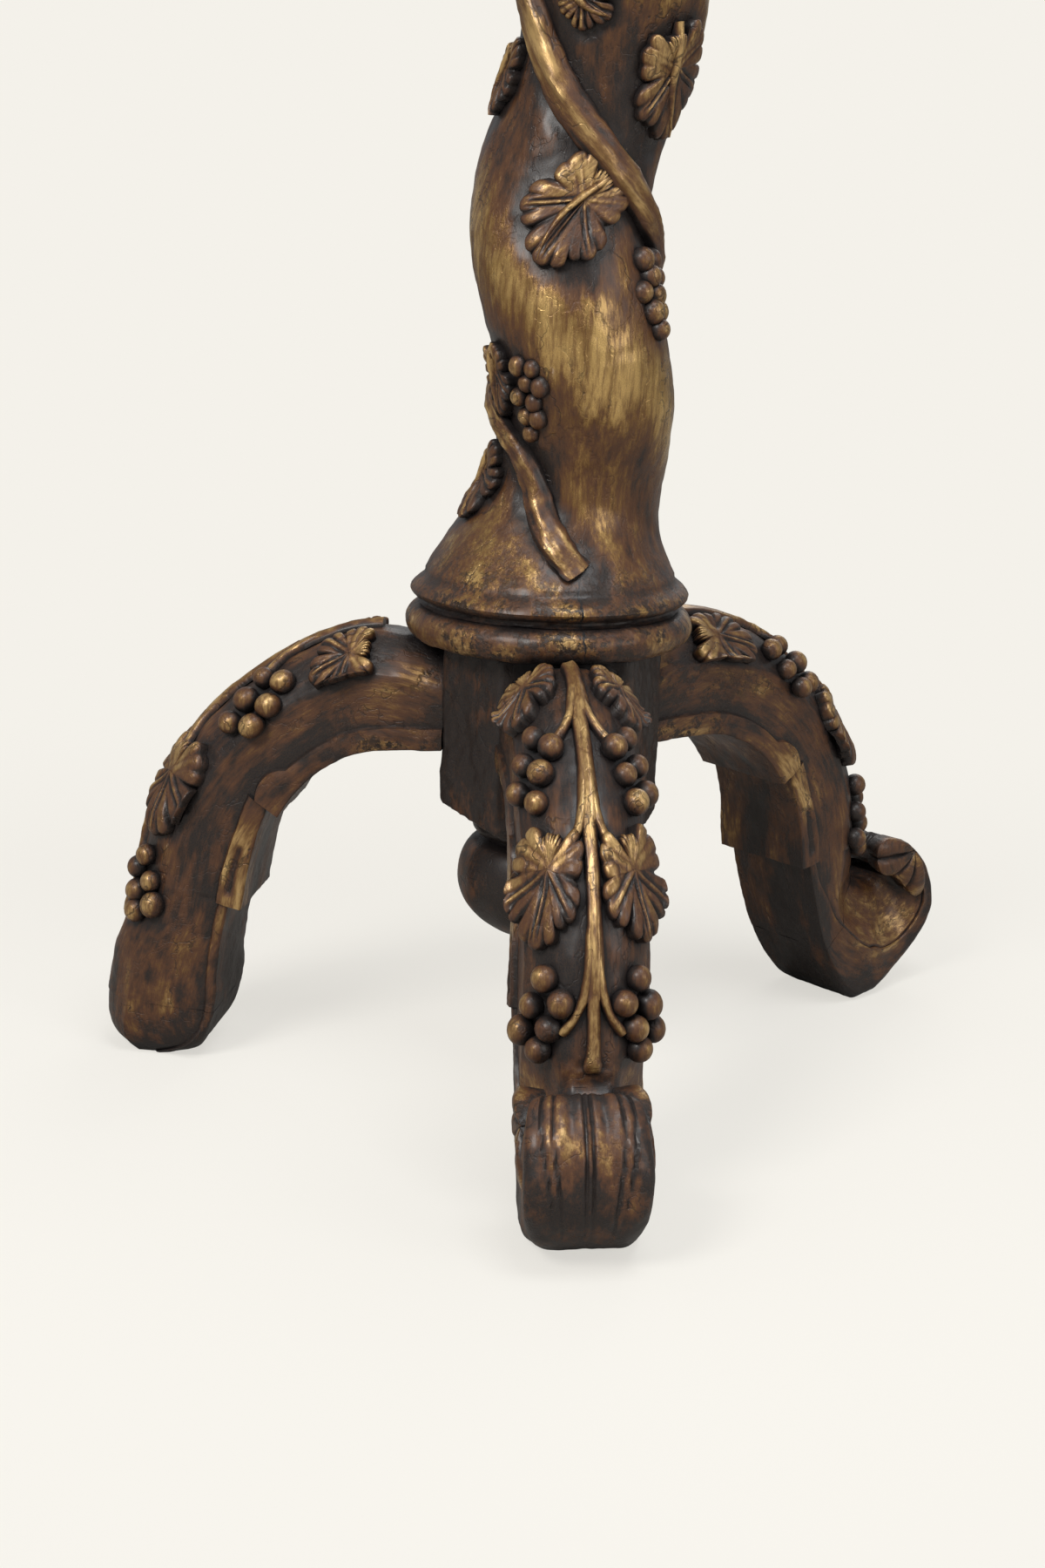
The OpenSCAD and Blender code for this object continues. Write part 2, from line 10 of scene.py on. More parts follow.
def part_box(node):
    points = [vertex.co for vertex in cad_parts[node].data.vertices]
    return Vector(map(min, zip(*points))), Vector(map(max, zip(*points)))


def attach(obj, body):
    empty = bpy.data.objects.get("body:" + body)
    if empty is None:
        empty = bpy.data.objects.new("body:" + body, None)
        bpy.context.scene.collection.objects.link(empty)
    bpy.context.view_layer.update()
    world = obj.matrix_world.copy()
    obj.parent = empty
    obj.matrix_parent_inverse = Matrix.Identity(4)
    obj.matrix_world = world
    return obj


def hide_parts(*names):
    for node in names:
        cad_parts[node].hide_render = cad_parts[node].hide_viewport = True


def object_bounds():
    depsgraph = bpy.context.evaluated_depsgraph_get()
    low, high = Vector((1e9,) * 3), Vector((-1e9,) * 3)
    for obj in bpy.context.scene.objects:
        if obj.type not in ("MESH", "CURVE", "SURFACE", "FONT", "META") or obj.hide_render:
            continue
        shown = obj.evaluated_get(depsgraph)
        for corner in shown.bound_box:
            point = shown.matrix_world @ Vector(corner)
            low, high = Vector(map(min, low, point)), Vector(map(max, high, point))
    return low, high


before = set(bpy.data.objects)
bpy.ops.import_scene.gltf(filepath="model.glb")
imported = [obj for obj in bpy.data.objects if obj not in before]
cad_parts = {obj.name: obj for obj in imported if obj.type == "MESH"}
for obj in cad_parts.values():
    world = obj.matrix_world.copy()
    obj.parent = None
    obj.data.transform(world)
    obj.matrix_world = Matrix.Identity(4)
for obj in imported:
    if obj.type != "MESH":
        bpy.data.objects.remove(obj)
cad_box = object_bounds()

# ---- Hub ----
# The upright block of the base: softwood sawn to six faces, three of them for the legs.
# It was toned nearly black, and a breath of bronze is left on its arrises.
MM = 0.001


def sin(degrees):
    return math.sin(math.radians(degrees))


def cos(degrees):
    return math.cos(math.radians(degrees))


def only(piece):
    """Makes one piece the only one that is selected."""
    bpy.ops.object.select_all(action="DESELECT")
    piece.select_set(True)
    bpy.context.view_layer.objects.active = piece


def turned(name, profile, sides):
    """Turns a solid on the lathe, from its lowest ring up: profile is [radius, height]."""
    (radius, height), *rest = profile
    bpy.ops.object.select_all(action="DESELECT")
    bpy.ops.mesh.primitive_circle_add(
        vertices=sides, radius=radius * MM, fill_type="NGON", location=(0, 0, height * MM))
    piece = bpy.context.object
    piece.name = name
    bpy.ops.object.mode_set(mode="EDIT")
    for next_radius, next_height in rest:
        bpy.ops.mesh.extrude_region_move(
            TRANSFORM_OT_translate={"value": (0, 0, (next_height - height) * MM)})
        share = next_radius / radius
        bpy.ops.transform.resize(
            value=(share, share, 1), center_override=(0, 0, next_height * MM))
        radius, height = next_radius, next_height
    bpy.ops.mesh.select_all(action="SELECT")
    bpy.ops.mesh.normals_make_consistent(inside=False)
    bpy.ops.object.mode_set(mode="OBJECT")
    bpy.ops.object.transform_apply(location=True, rotation=True, scale=True)
    return piece


def apply_modifier(piece, kind, **settings):
    """Adds one modifier to a piece and applies it."""
    only(piece)
    modifier = piece.modifiers.new(kind.title(), kind)
    for name, value in settings.items():
        setattr(modifier, name, value)
    bpy.ops.object.modifier_apply(modifier=modifier.name)


def wear(piece, depth, size, seed):
    """Moves a surface in and out by up to depth, in dents about size across."""
    mesh = piece.data
    shift = Vector((seed * 7.3, seed * 3.1, seed * 5.7))
    normals = [corner.vector.copy() for corner in mesh.vertex_normals]
    moved = []
    for vertex, normal in zip(mesh.vertices, normals):
        here = vertex.co / (size * MM) + shift
        moved.extend(vertex.co + normal * depth * MM * noise.noise(here))
    mesh.vertices.foreach_set("co", moved)
    mesh.update()


def fit(piece, node, finish, dents=(), angle=50, trim=None):
    """Fixes a piece to the stand in place of its plain solid, and gives it its finish.

    dents are [depth, size, seed], trim is done after them, and arrises over angle stay sharp."""
    for depth, size, seed in dents:
        wear(piece, depth, size, seed)
    if trim:
        trim(piece)
    only(piece)
    bpy.ops.object.shade_smooth_by_angle(angle=math.radians(angle))
    piece.data.materials.clear()
    piece.data.materials.append(finish)
    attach(piece, "root")
    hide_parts(node)


def height_and_radius(node):
    """Foot, head and radius of a turned piece in the frame, in millimetres."""
    low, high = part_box(node)
    return low.z / MM, high.z / MM, (high.x - low.x) / 2 / MM


class Shade:
    """One output of a material's nodes. Plain arithmetic on it adds Math nodes."""

    def __init__(self, tree, socket=None):
        self.tree = tree
        self.socket = socket

    def node(self, kind, settings, sockets, output=0):
        """Any node: its settings first, then its sockets' values or links."""
        made = self.tree.nodes.new("ShaderNode" + kind)
        for name, value in settings.items():
            setattr(made, name, value)
        for name, value in sockets.items():
            if isinstance(value, Shade):
                self.tree.links.new(value.socket, made.inputs[name])
            else:
                made.inputs[name].default_value = value
        return Shade(self.tree, made.outputs[output])

    def into(self, target, name):
        """Links this output to an input of another node."""
        self.tree.links.new(self.socket, target.inputs[name])

    def maths(self, operation, first, second):
        return self.node("Math", {"operation": operation}, {0: first, 1: second})

    def __add__(self, other):
        return self.maths("ADD", self, other)

    def __radd__(self, other):
        return self.maths("ADD", other, self)

    def __sub__(self, other):
        return self.maths("SUBTRACT", self, other)

    def __rsub__(self, other):
        return self.maths("SUBTRACT", other, self)

    def __mul__(self, other):
        return self.maths("MULTIPLY", self, other)

    def __rmul__(self, other):
        return self.maths("MULTIPLY", other, self)

    def __truediv__(self, other):
        return self.maths("DIVIDE", self, other)

    def between(self, low, high):
        """0 below low, 1 above high, and a soft step from one to the other."""
        return self.node("MapRange", {"interpolation_type": "SMOOTHSTEP"},
                         {"Value": self, "From Min": low, "From Max": high})

    def here(self):
        """Each point's place in the stand, in millimetres."""
        return self.node("VectorMath", {"operation": "SCALE"}, {
            0: self.node("TexCoord", {}, {}, "Object"), "Scale": 1 / MM})

    def speckle(self, place, size, detail=4, rough=0.6, stretch=(1, 1, 1)):
        """Soft random cloud over a place in millimetres, with patches of that size."""
        placed = self.node("Mapping", {}, {"Vector": place, "Scale": stretch})
        return self.node("TexNoise", {}, {
            "Vector": placed, "Scale": 1 / size, "Detail": detail, "Roughness": rough})

    def cracks(self, place, size, stretch):
        """0 on fine wandering cracks with cells of that size, and 1 away from them."""
        drift = self.node("TexNoise", {}, {"Vector": place, "Scale": 3 / size}, "Color")
        bent = self.node("VectorMath", {"operation": "MULTIPLY_ADD"}, {
            0: drift, 1: (size * 0.8,) * 3, 2: place})
        placed = self.node("Mapping", {}, {"Vector": bent, "Scale": stretch})
        edge = self.node("TexVoronoi", {"feature": "DISTANCE_TO_EDGE"}, {
            "Vector": placed, "Scale": 1 / size}, "Distance")
        return edge.between(0.004, 0.03)

    def tint(self, mask, under, over):
        """Colour over where mask is 1, and under where it is 0."""
        def side(colour):
            return colour if isinstance(colour, Shade) else (*colour, 1)
        return self.node("Mix", {"data_type": "RGBA"}, {
            "Factor": mask, 6: side(under), 7: side(over)}, 2)


def split_wood(shade, place, turn, low, high):
    """1 on a fine upright split through the foot of the column, and 0 beside it."""
    x, y, z = [shade.node("SeparateXYZ", {}, {"Vector": place}, axis) for axis in "XYZ"]
    radius, taper = 85, 25
    drift = shade.speckle(place, 14, 3) * 9 - 4.5
    gap = (shade.maths("ARCTAN2", x, 0 - y) - math.radians(turn)) * radius + drift
    width = z.between(low, low + taper) * (1 - z.between(high - taper, high)) * 1.1
    return 1 - (shade.maths("ABSOLUTE", gap, 0) / (width + 0.05)).between(0.5, 1.0)


def crust(shade, place, low, high):
    """1 in the pits of lifted, broken gilding below one height, and 0 above another."""
    up = shade.node("SeparateXYZ", {}, {"Vector": place}, "Z")
    return ((1 - up.between(low, high)) * shade.speckle(place, 6, 6, 0.72).between(0.48, 0.54)
            * shade.speckle(place, 26, 4, 0.6).between(0.42, 0.52))


def new_finish(name):
    """A new material, its shader, and a Shade that adds nodes to it."""
    material = bpy.data.materials.new(name)
    material.use_nodes = True
    tree = material.node_tree
    return material, tree.nodes["Principled BSDF"], Shade(tree)


def worn_gilding(name, gold, raised=None, streak=0.4, gloss=0.3, chips=0.0, patchy=1.9,
                 warm=1.0, crusted=(), splits=()):
    """Old gold leaf over red-brown bole, rubbed through, toned dark and varnished, with
    painted shade in its hollows.

    gold is how much of the leaf is left, warm how yellow it is, raised how high the ground
    is where a piece doesn't carry that itself, streak how far the wear runs along the
    grain, and patchy how uneven it is. chips is the share that has chipped down to the
    gesso. Crust fades out between the two heights of crusted, and a split is [direction,
    foot, head]."""
    toning = (0.011, 0.0088, 0.0092)
    umber = (0.028, 0.017, 0.012)
    bole = (0.092, 0.037, 0.0155 / warm)
    deep_gold = (0.21, 0.109, 0.038 / warm)
    bright_gold = (0.60, 0.39, 0.158 / warm)
    gesso = (0.50, 0.36, 0.25)
    material, skin, shade = new_finish(name)

    if raised is None:
        place = shade.node("Attribute", {"attribute_name": "flat"}, {}, "Vector")
        height = shade.node("Attribute", {"attribute_name": "raised"}, {}, "Fac")
    else:
        place = shade.here()
        height = shade.speckle(place, 35, 2) * 0.3 + (raised - 0.15)
    along = (1, 1, 1 - streak)
    # open_air is ambient occlusion: hollows keep less gold and come out darker, which is painted
    # shade.
    open_air = shade.node("AmbientOcclusion", {"samples": 8}, {"Distance": 16 * MM}, "AO")
    patches = shade.speckle(place, 30, 4, 0.55, along)
    rubbing = shade.speckle(place, 9, 6, 0.68, along)
    grain = shade.speckle(place, 2.4, 5, 0.7, (1, 1, (1 - streak) * 0.3))
    fine = shade.speckle(place, 0.8, 3, 0.6)
    crackle = shade.cracks(place, 26, (1, 1, 0.4))

    share = (height * 1.15 + open_air * 0.85 + (patches - 0.5) * patchy
             + (rubbing - 0.5) * 1.5 + (grain - 0.5) * 0.9 + (gold - 1.32))
    leaf = share.between(0.05, 0.50)
    primer = share.between(-0.42, 0.16)
    lustre = share.between(0.25, 1.05)
    dust_and_hollow_shade = open_air.between(0.25, 0.85)

    ground = shade.tint(fine.between(0.35, 0.65), toning, umber)
    colour = shade.tint(primer, ground, bole)
    metal = shade.tint(lustre, deep_gold, bright_gold)
    scratched = leaf * (0.45 + grain.between(0.36, 0.56) * 0.55)
    colour = shade.tint(scratched, colour, metal)
    pits = crust(shade, place, *crusted) if crusted else 0
    if crusted:
        colour = shade.tint(pits * 0.95, colour, umber)
    # Darker where ambient occlusion finds a hollow: partly dust, partly painted shade.
    colour = shade.tint(dust_and_hollow_shade, toning, colour)
    lost = (rubbing.between(0.60, 0.64) * patches.between(0.54, 0.60)
            * shade.speckle(place, 14, 5, 0.7).between(0.56, 0.60) * chips)
    colour = shade.tint(lost, colour, gesso)
    crack = (1 - crackle) * patches.between(0.46, 0.60) * 0.6
    for turn, low, high in splits:
        crack = shade.maths("MAXIMUM", crack, split_wood(shade, place, turn, low, high))
    colour = shade.tint(crack, colour, toning)
    colour.into(skin, "Base Color")
    (scratched * 0.55).into(skin, "Metallic")
    rough = (gloss + 0.20) - leaf * 0.16 + (fine - 0.5) * 0.2 + (rubbing - 0.5) * 0.3 + lost * 0.3
    rough.into(skin, "Roughness")
    relief = (leaf * 0.3 + rubbing * 0.7 + grain * 0.4 + fine * 0.15 + crackle * 0.35
              - lost * 0.6 - crack * 0.5 - pits * 0.9)
    bump = shade.node("Bump", {}, {
        "Height": relief, "Strength": 0.5, "Distance": 0.9 * MM}, "Normal")
    bump.into(skin, "Normal")
    skin.inputs["Specular IOR Level"].default_value = 0.35
    skin.inputs["Coat Weight"].default_value = 0.22
    skin.inputs["Coat Roughness"].default_value = 0.24
    return material


def saw_off(piece, point, normal):
    """Saws off all of a piece that lies beyond a plane."""
    only(piece)
    bpy.ops.object.mode_set(mode="EDIT")
    bpy.ops.mesh.select_all(action="SELECT")
    bpy.ops.mesh.bisect(plane_co=[c * MM for c in point], plane_no=normal,
                        use_fill=True, clear_outer=True)
    bpy.ops.object.mode_set(mode="OBJECT")


def heading(turn):
    """Level direction turned from the front towards the right."""
    return Vector((sin(turn), -cos(turn), 0))


hub_foot, hub_head, _ = height_and_radius("hub")
leg_turn = [7.5, -98, 132.5]
seat_r = 60
side_turn = [(leg_turn[0] + leg_turn[1]) / 2, (leg_turn[0] + leg_turn[2]) / 2,
             (leg_turn[1] + leg_turn[2] - 360) / 2]
side_r = 66
hub = turned("hub_block", [[67, hub_foot], [75, hub_foot + 10], [76, hub_head]], 96)
for turns, r in ((leg_turn, seat_r), (side_turn, side_r)):
    for turn in turns:
        saw_off(hub, heading(turn) * r, heading(turn))
saw_off(hub, (-62, -26, hub_foot + 14), Vector((-0.42, -0.12, -0.9)))
saw_off(hub, (58, -30, hub_foot + 6), Vector((0.3, -0.35, -0.89)))
apply_modifier(hub, "BEVEL", width=2.2 * MM, segments=2)
apply_modifier(hub, "REMESH", mode="VOXEL", voxel_size=1.9 * MM)
blackened = worn_gilding("blackened_wood", -0.22, raised=0.25, gloss=0.34)
fit(hub, "hub", blackened, [[1.4, 22, 1], [0.7, 6, 2]], 60)

# ---- Pendant finial ----
# A turned bulb under the hub, held by a dowel. Its gilding has gone almost black, and only
# a dull bronze sheen is left on the round.
bulb_tip, bulb_top, bulb_r = height_and_radius("pendant_finial")
belly = bulb_tip + 0.52 * (bulb_top - bulb_tip)
bulb_profile = [[0.6, bulb_tip]]
for step in range(1, 21):
    t = step / 20
    bulb_profile.append([bulb_r * sin(90 * t) ** 0.92,
                         bulb_tip + (belly - bulb_tip) * (1 - cos(90 * t))])
for step in range(1, 11):
    t = step / 10
    bulb_profile.append([bulb_r - 13 * (1 - cos(85 * t)),
                         belly + (bulb_top - 14 - belly) * sin(90 * t)])
bulb_profile += [[37, bulb_top - 12], [37.5, bulb_top - 10], [42, bulb_top - 8],
                 [44, bulb_top - 5.5], [44.4, bulb_top - 3], [43, bulb_top]]
pendant = turned("pendant_bulb", bulb_profile, 144)
dull_bronze = worn_gilding("dull_bronze", -0.30, raised=0.30, gloss=0.28)
fit(pendant, "pendant_finial", dull_bronze, [[0.8, 16, 3]])

# ---- Legs and toes ----
# Each leg is sawn and carved from a thick plank: domed outside, flat underneath, where two
# straps overlap like folded leather. The scrolled toe is a separate block on a dowel; the
# left one is lost, and a plain rounded stump stands in its place.
FRONT, LEFT, RIGHT = 0, 1, 2
leg_names = ["front", "left", "right"]
# How the three differ, as each was carved by hand.
leg_reach = [-16, -5, 18]
leg_rise = [0, -2, 3]
scroll_rise = [-5, 0, 6]
scroll_swing = [-9, 0, 0]
# Side view: [out from the hub, height] at stations 0, 1, 2 ... along the back of a leg and
# along its inside, about a span apart. A toe's points follow the leg's.
span = 50
leg_outer = [[60, 285], [114, 293], [170, 272], [222, 230], [258, 172], [272, 110]]
leg_inner = [[60, 228], [110, 225], [140, 213], [171, 186], [192, 148], [205, 98]]
scroll_outer = [[275, 88], [288, 80], [296, 76], [300, 77], [302, 81], [303, 87], [301, 83]]
scroll_inner = [[226, 45], [264, 0], [316, 11], [344, 44], [338, 82], [312, 103], [297, 88]]
stump_outer = [[286, 72], [292, 38], [288, 13], [270, 0]]
stump_inner = [[210, 64], [212, 34], [222, 9], [238, 0]]
outer_edge = [leg_outer + toe for toe in (scroll_outer, stump_outer, scroll_outer)]
inner_edge = [leg_inner + toe for toe in (scroll_inner, stump_inner, scroll_inner)]
# Width and dome of a leg, and the share of them at each station.
leg_w = 79
leg_dome = 24
scroll_dome = [1, 1, 1, 1, 1, 1.25, 2.3, 3, 2.4, 1.85, 1.1, 0.35, 0]
stump_dome = [1, 1, 1, 1, 1, 1, 1, 0.9, 0.6, 0.2]
dome_share = [scroll_dome, stump_dome, scroll_dome]
scroll_width = [1, 1, 1, 1, 1, 1, 0.98, 0.96, 0.96, 0.96, 0.93, 0.8, 0.45]
stump_width = [1, 1, 1, 1, 1, 1, 1, 1, 0.95, 0.75]
width_share = [scroll_width, stump_width, scroll_width]
# Stations where the straps end, where the toe is joined on and where a scroll's dish begins.
strap_end = [3.25, 4.75]
toe_station = [6, 7, 6]
dish_station = [5.15, None, 4.95]
strap_step = 9
rim_thick = 20
# The leaf curled over a scroll's side: its root in the side view, how far its edge reaches
# from there over a turn from a first angle, and how far aside it lies.
curl_root = [331, 105]
curl_reach = [13, 26, 35, 39, 38, 35, 31, 27, 25, 24, 26, 30, 35, 37, 34, 16]
curl_turn = [141, 167]
curl_level = 37.4
curl_puff = 3.6
curl_lobes = 4
# How raised the ground is, and so how much gold it kept: under the leg, along its strap, in
# the seam above that, on the flank and on the back.
under_high, strap_high, seam_high, flank_high, back_high = 0.34, 0.54, 0.16, 0.36, 0.50
crest_steps = 26


def ease(x, none, full):
    """0 where x is at none or before it, 1 at full and beyond, and a soft step between."""
    x = min(max((x - none) / (full - none), 0), 1)
    return x * x * (3 - 2 * x)


def bell(x, width):
    return math.exp(-(x / width) ** 2)


def curve(points, s):
    """A smooth curve through a list of points or numbers, which it meets at s = 0, 1, 2 ..."""
    i = max(min(int(s), len(points) - 2), 0)
    f = s - i
    near = [points[max(i - 1, 0)], points[i], points[i + 1], points[min(i + 2, len(points) - 1)]]

    def through(a, b, c, d):
        return (2 * b + (c - a) * f + (2 * a - 5 * b + 4 * c - d) * f * f
                + (3 * b - a - 3 * c + d) * f ** 3) / 2
    if isinstance(points[0], (int, float)):
        return through(*near)
    return [through(*values) for values in zip(*near)]


def carved(leg, point, s):
    """Each leg is carved by hand: moves a side-view point of the shared pattern."""
    out, up = point
    rise = leg_rise[leg] * sin(s * 30) if s < 6 else 0
    return Vector((out + leg_reach[leg] * ease(out, seat_r, seat_r + 140),
                   max(up + rise + scroll_rise[leg] * ease(s, 7, 9), 0)))


def side_view(leg, s):
    """Outer point, unit vector to the inner point and the distance between them."""
    outer = carved(leg, curve(outer_edge[leg], s), s)
    inner = carved(leg, curve(inner_edge[leg], s), s)
    return outer, (inner - outer).normalized(), (inner - outer).length


def dome_at(leg, s):
    return leg_dome * curve(dome_share[leg], s)


def edge_fall(leg, s):
    """Fall of the outer face at its edge. On a scroll only a rim is left beside it."""
    if leg == LEFT or s < 4.8:
        return dome_at(leg, s)
    rim = rim_thick + 21 * bell(s - 7, 0.8) + 18 * ease(s, 5.75, 4.8)
    tip = ease(s, 9.6, 11)
    thin = max(side_view(leg, s)[2] - rim, leg_dome * ease(s, 6.2, 5))
    return dome_at(leg, s) * tip + thin * (1 - tip)


def fall(leg, s, q):
    """Fall of the outer face at q across it: domed on the leg, and scooped on the scroll."""
    scoop = 0 if leg == LEFT else ease(s - dish_station[leg], 0, 1.1)
    hollow = 0.35 * ease(q, 0.28, 0.68) + 0.65 * max(2 * q - 1, 0) ** 0.8
    return edge_fall(leg, s) * ((1 - scoop) * q ** 2.6 + scoop * hollow)


def half_width(leg, s):
    return curve(width_share[leg], s) * leg_w / 2


def leg_frame(leg, out, side, up):
    """A point of a leg in the stand's frame, in metres."""
    turn = leg_turn[leg]
    return Vector((out * sin(turn) + side * cos(turn),
                   side * sin(turn) - out * cos(turn), up)) * MM


def strap_at(s):
    """Thickness of the strap under the leg: it swells to its end and stops in a step."""
    if s <= strap_end[0]:
        return strap_step * (0.72 + 0.28 * ease(s, 2.2, 3.25))
    if s <= strap_end[1]:
        return strap_step * ((s - strap_end[0]) / (strap_end[1] - strap_end[0])) ** 0.8
    return 0


def strap_edge(s):
    """Thickness of the strap's edge on the flank, and how far it stands out of it."""
    if s <= strap_end[0]:
        curl = math.sin(math.pi * min(max((s - 2.62) / 0.72, 0), 1)) ** 0.7
        return 14 + 8 * curl, 2.2 + 1.4 * ease(s, 2.3, 3.2)
    if s <= strap_end[1]:
        return 14 + 3 * ease(s, 3.8, 4.6), 2.0 + 1.6 * ease(s, 3.7, 4.5)
    return 6, 1.8


def fold_slot(s):
    """Depth of the slot in the second strap's folded edge."""
    return 2.4 * ease(s, 3.9, 4.05) * ease(s, 4.66, 4.56)


def flutes(leg, s, q):
    """Depth of the paired flutes on the back of the scroll, at q across it."""
    if leg == LEFT:
        return 0
    along = ease(s, 8.3, 9.6) * ease(s, 11.9, 11.3)
    spread = 0.72 + 0.45 * ease(s, 8.2, 10.6)
    pairs = sum(bell(abs(q) - place, 0.034) for place in (0.055, 0.5 * spread, 0.66 * spread))
    return along * (2.0 * pairs + 1.6 * bell(abs(q) - 0.28, 0.1) * ease(s, 9.6, 10.6))


leaf_down = [66, 180]
bunch_down = [124, 238]
row_slip = [[0, 0], [0, 8], [-8, -8]]
leaf_aside = [27, 24]
bunch_aside = 24
upper_aside = [0, 4, 3]
stem_end = 276
# How far the ground is cut back round the stem, and along and beside a leaf and a bunch.
stem_cut, leaf_cut, bunch_cut = 13, [28, 18], [27, 18]
flank_in = 2
flank_gap = 3.6


def ornament_row(leg, row):
    """Where a leaf and a bunch are in the upper or lower row: down the leg, and aside."""
    slip, off = row_slip[leg][row], upper_aside[leg] * (row == 0)
    return ((leaf_down[row] + slip, leaf_aside[row] + off),
            (bunch_down[row] + slip, bunch_aside + off))


def near_ornament(leg, down, aside):
    """1 beside the stem, a leaf or a bunch, where the ground was cut back round it."""
    near = ease(abs(aside), stem_cut, stem_cut - 6) * ease(down, stem_end - 2, stem_end - 10)
    for row in (0, 1):
        for (middle, out), (long, wide) in zip(ornament_row(leg, row), (leaf_cut, bunch_cut)):
            far = math.hypot((down - middle) / long, (abs(aside) - out) / wide)
            near = max(near, ease(far, 1.42, 1.02))
    return near


def leg_half(leg, s, across):
    """One half of a cross-section, from the middle of the underside round to the crest.

    Each point is [to the side, depth below the crest, how raised it is], and the underside
    has as many points as across says."""
    flank = half_width(leg, s) - flank_gap
    deep = side_view(leg, s)[2] + strap_at(s)
    toe = ease(s - toe_station[leg], 0, 2)
    scroll = 0 if leg == LEFT else ease(s, 4.9, 6.1)
    edge, proud = strap_edge(s)
    round_x = 1.2 + (0.5 * half_width(leg, s) - 1.2) * toe
    side = deep - fall(leg, s, 1)
    round_y = 1.2 + (min(12, side * 0.45) - 1.2) * toe
    edge = max(min(edge, deep * 0.42), round_y + 3)
    edge = min(edge + (side - 2.5 - edge) * scroll, side - 2.2)
    low = 0.26 * ease(s, 4.6, 7)
    cap = 0.60 * bell(s - 10.1, 1.15) * (leg != LEFT)
    slot = fold_slot(s)
    rim = flank + proud
    points = []
    # The underside with its flutes, and its rounded corner.
    for k in range(across):
        v = (rim - round_x) * k / (across - 1)
        flute = flutes(leg, s, v / rim)
        gold = cap * (0.75 + 0.25 * ease(v / rim, 0.12, 0.32))
        points.append([v, deep - flute, under_high - low + gold - 0.24 * flute])
    corner = 6 if across < 20 else 15
    for k in range(1, corner + 1):
        turn = k * 90 / corner
        v = rim - round_x * (1 - sin(turn))
        flute = flutes(leg, s, v / rim)
        gold = cap * (1 - ease(v / rim, 0.55, 0.95))
        points.append([v, deep - round_y * (1 - cos(turn)) - flute,
                       under_high + 0.04 - low + gold - 0.24 * flute])
    # The strap's edge with the slot of its fold, the seam above it, and the flank.
    for k in range(1, 9):
        t = k / 8
        groove = slot * bell(t - 0.55, 0.16)
        points.append([rim + (0.6 - 1.2 * scroll) * math.sin(math.pi * t) - groove,
                       deep - round_y - (edge - round_y) * t,
                       strap_high - 0.3 * groove - low + scroll * (0.36 * t ** 3 - 0.08)])
    low_flank = deep - edge - 1.6 + 1.2 * scroll
    points.append([flank + proud * 0.45, deep - edge - 0.5, 0.42 + 0.14 * scroll])
    points.append([flank - 0.3, low_flank, seam_high + 0.3 * scroll])
    for k in range(1, 6):
        t = k / 6
        points.append([flank, low_flank + (deep - side - low_flank) * t,
                       flank_high + 0.14 * t - 0.5 * low])
    # The back, from the shoulder up to the crest.
    for k in range(crest_steps + 1):
        q = 1 - (k / crest_steps) ** 1.35
        # Beside the ornament the ground is cut back and painted darker as shade, and on a scroll
        # the web between its two dishes is painted darker as shade too.
        near = near_ornament(leg, s * span, flank * q)
        dish = scroll * ease(q, 0.3, 0.6) * ease(s, 11, 9)
        shelf_shade = 0.16 * scroll * (1 - ease(q, 0.3, 0.6))
        points.append([flank * q, fall(leg, s, q) + 0.9 * near,
                       back_high - 0.23 * near - shelf_shade + 0.10 * dish
                       - 0.12 * (leg == LEFT) * ease(s, 6.6, 7.8)])
    return points


def scroll_end(leg, s, points):
    """Rounds the sole of a scroll and thins its tip."""
    if leg == LEFT or s < 6:
        return points
    thin = ease(s, 9.2, 11)
    sole = 0.13 * bell(s - 8.05, 0.6)
    deep = side_view(leg, s)[2]
    wide = half_width(leg, s)
    shaped = []
    for v, depth, high in points:
        over = ease(abs(v) / wide, 0.4, 0.95)
        shaped.append([v * (1 - sole * over), depth + (deep - depth) * 0.3 * thin * (1 - over),
                       high])
    return shaped


def leg_ring(leg, s, across=14):
    """A whole cross-section in the stand's frame, with how raised each point is."""
    outer, down, _ = side_view(leg, s)
    half = scroll_end(leg, s, leg_half(leg, s, across))
    swing = scroll_swing[leg] * ease(s - toe_station[leg], 0, 3)
    ring = half + [[-v, depth, high] for v, depth, high in reversed(half[1:-1])]
    placed = []
    for side, depth, high in ring:
        at = outer + down * depth
        placed.append((leg_frame(leg, at.x, side + swing, at.y), high,
                       Vector((side, depth, s * span))))
    return placed


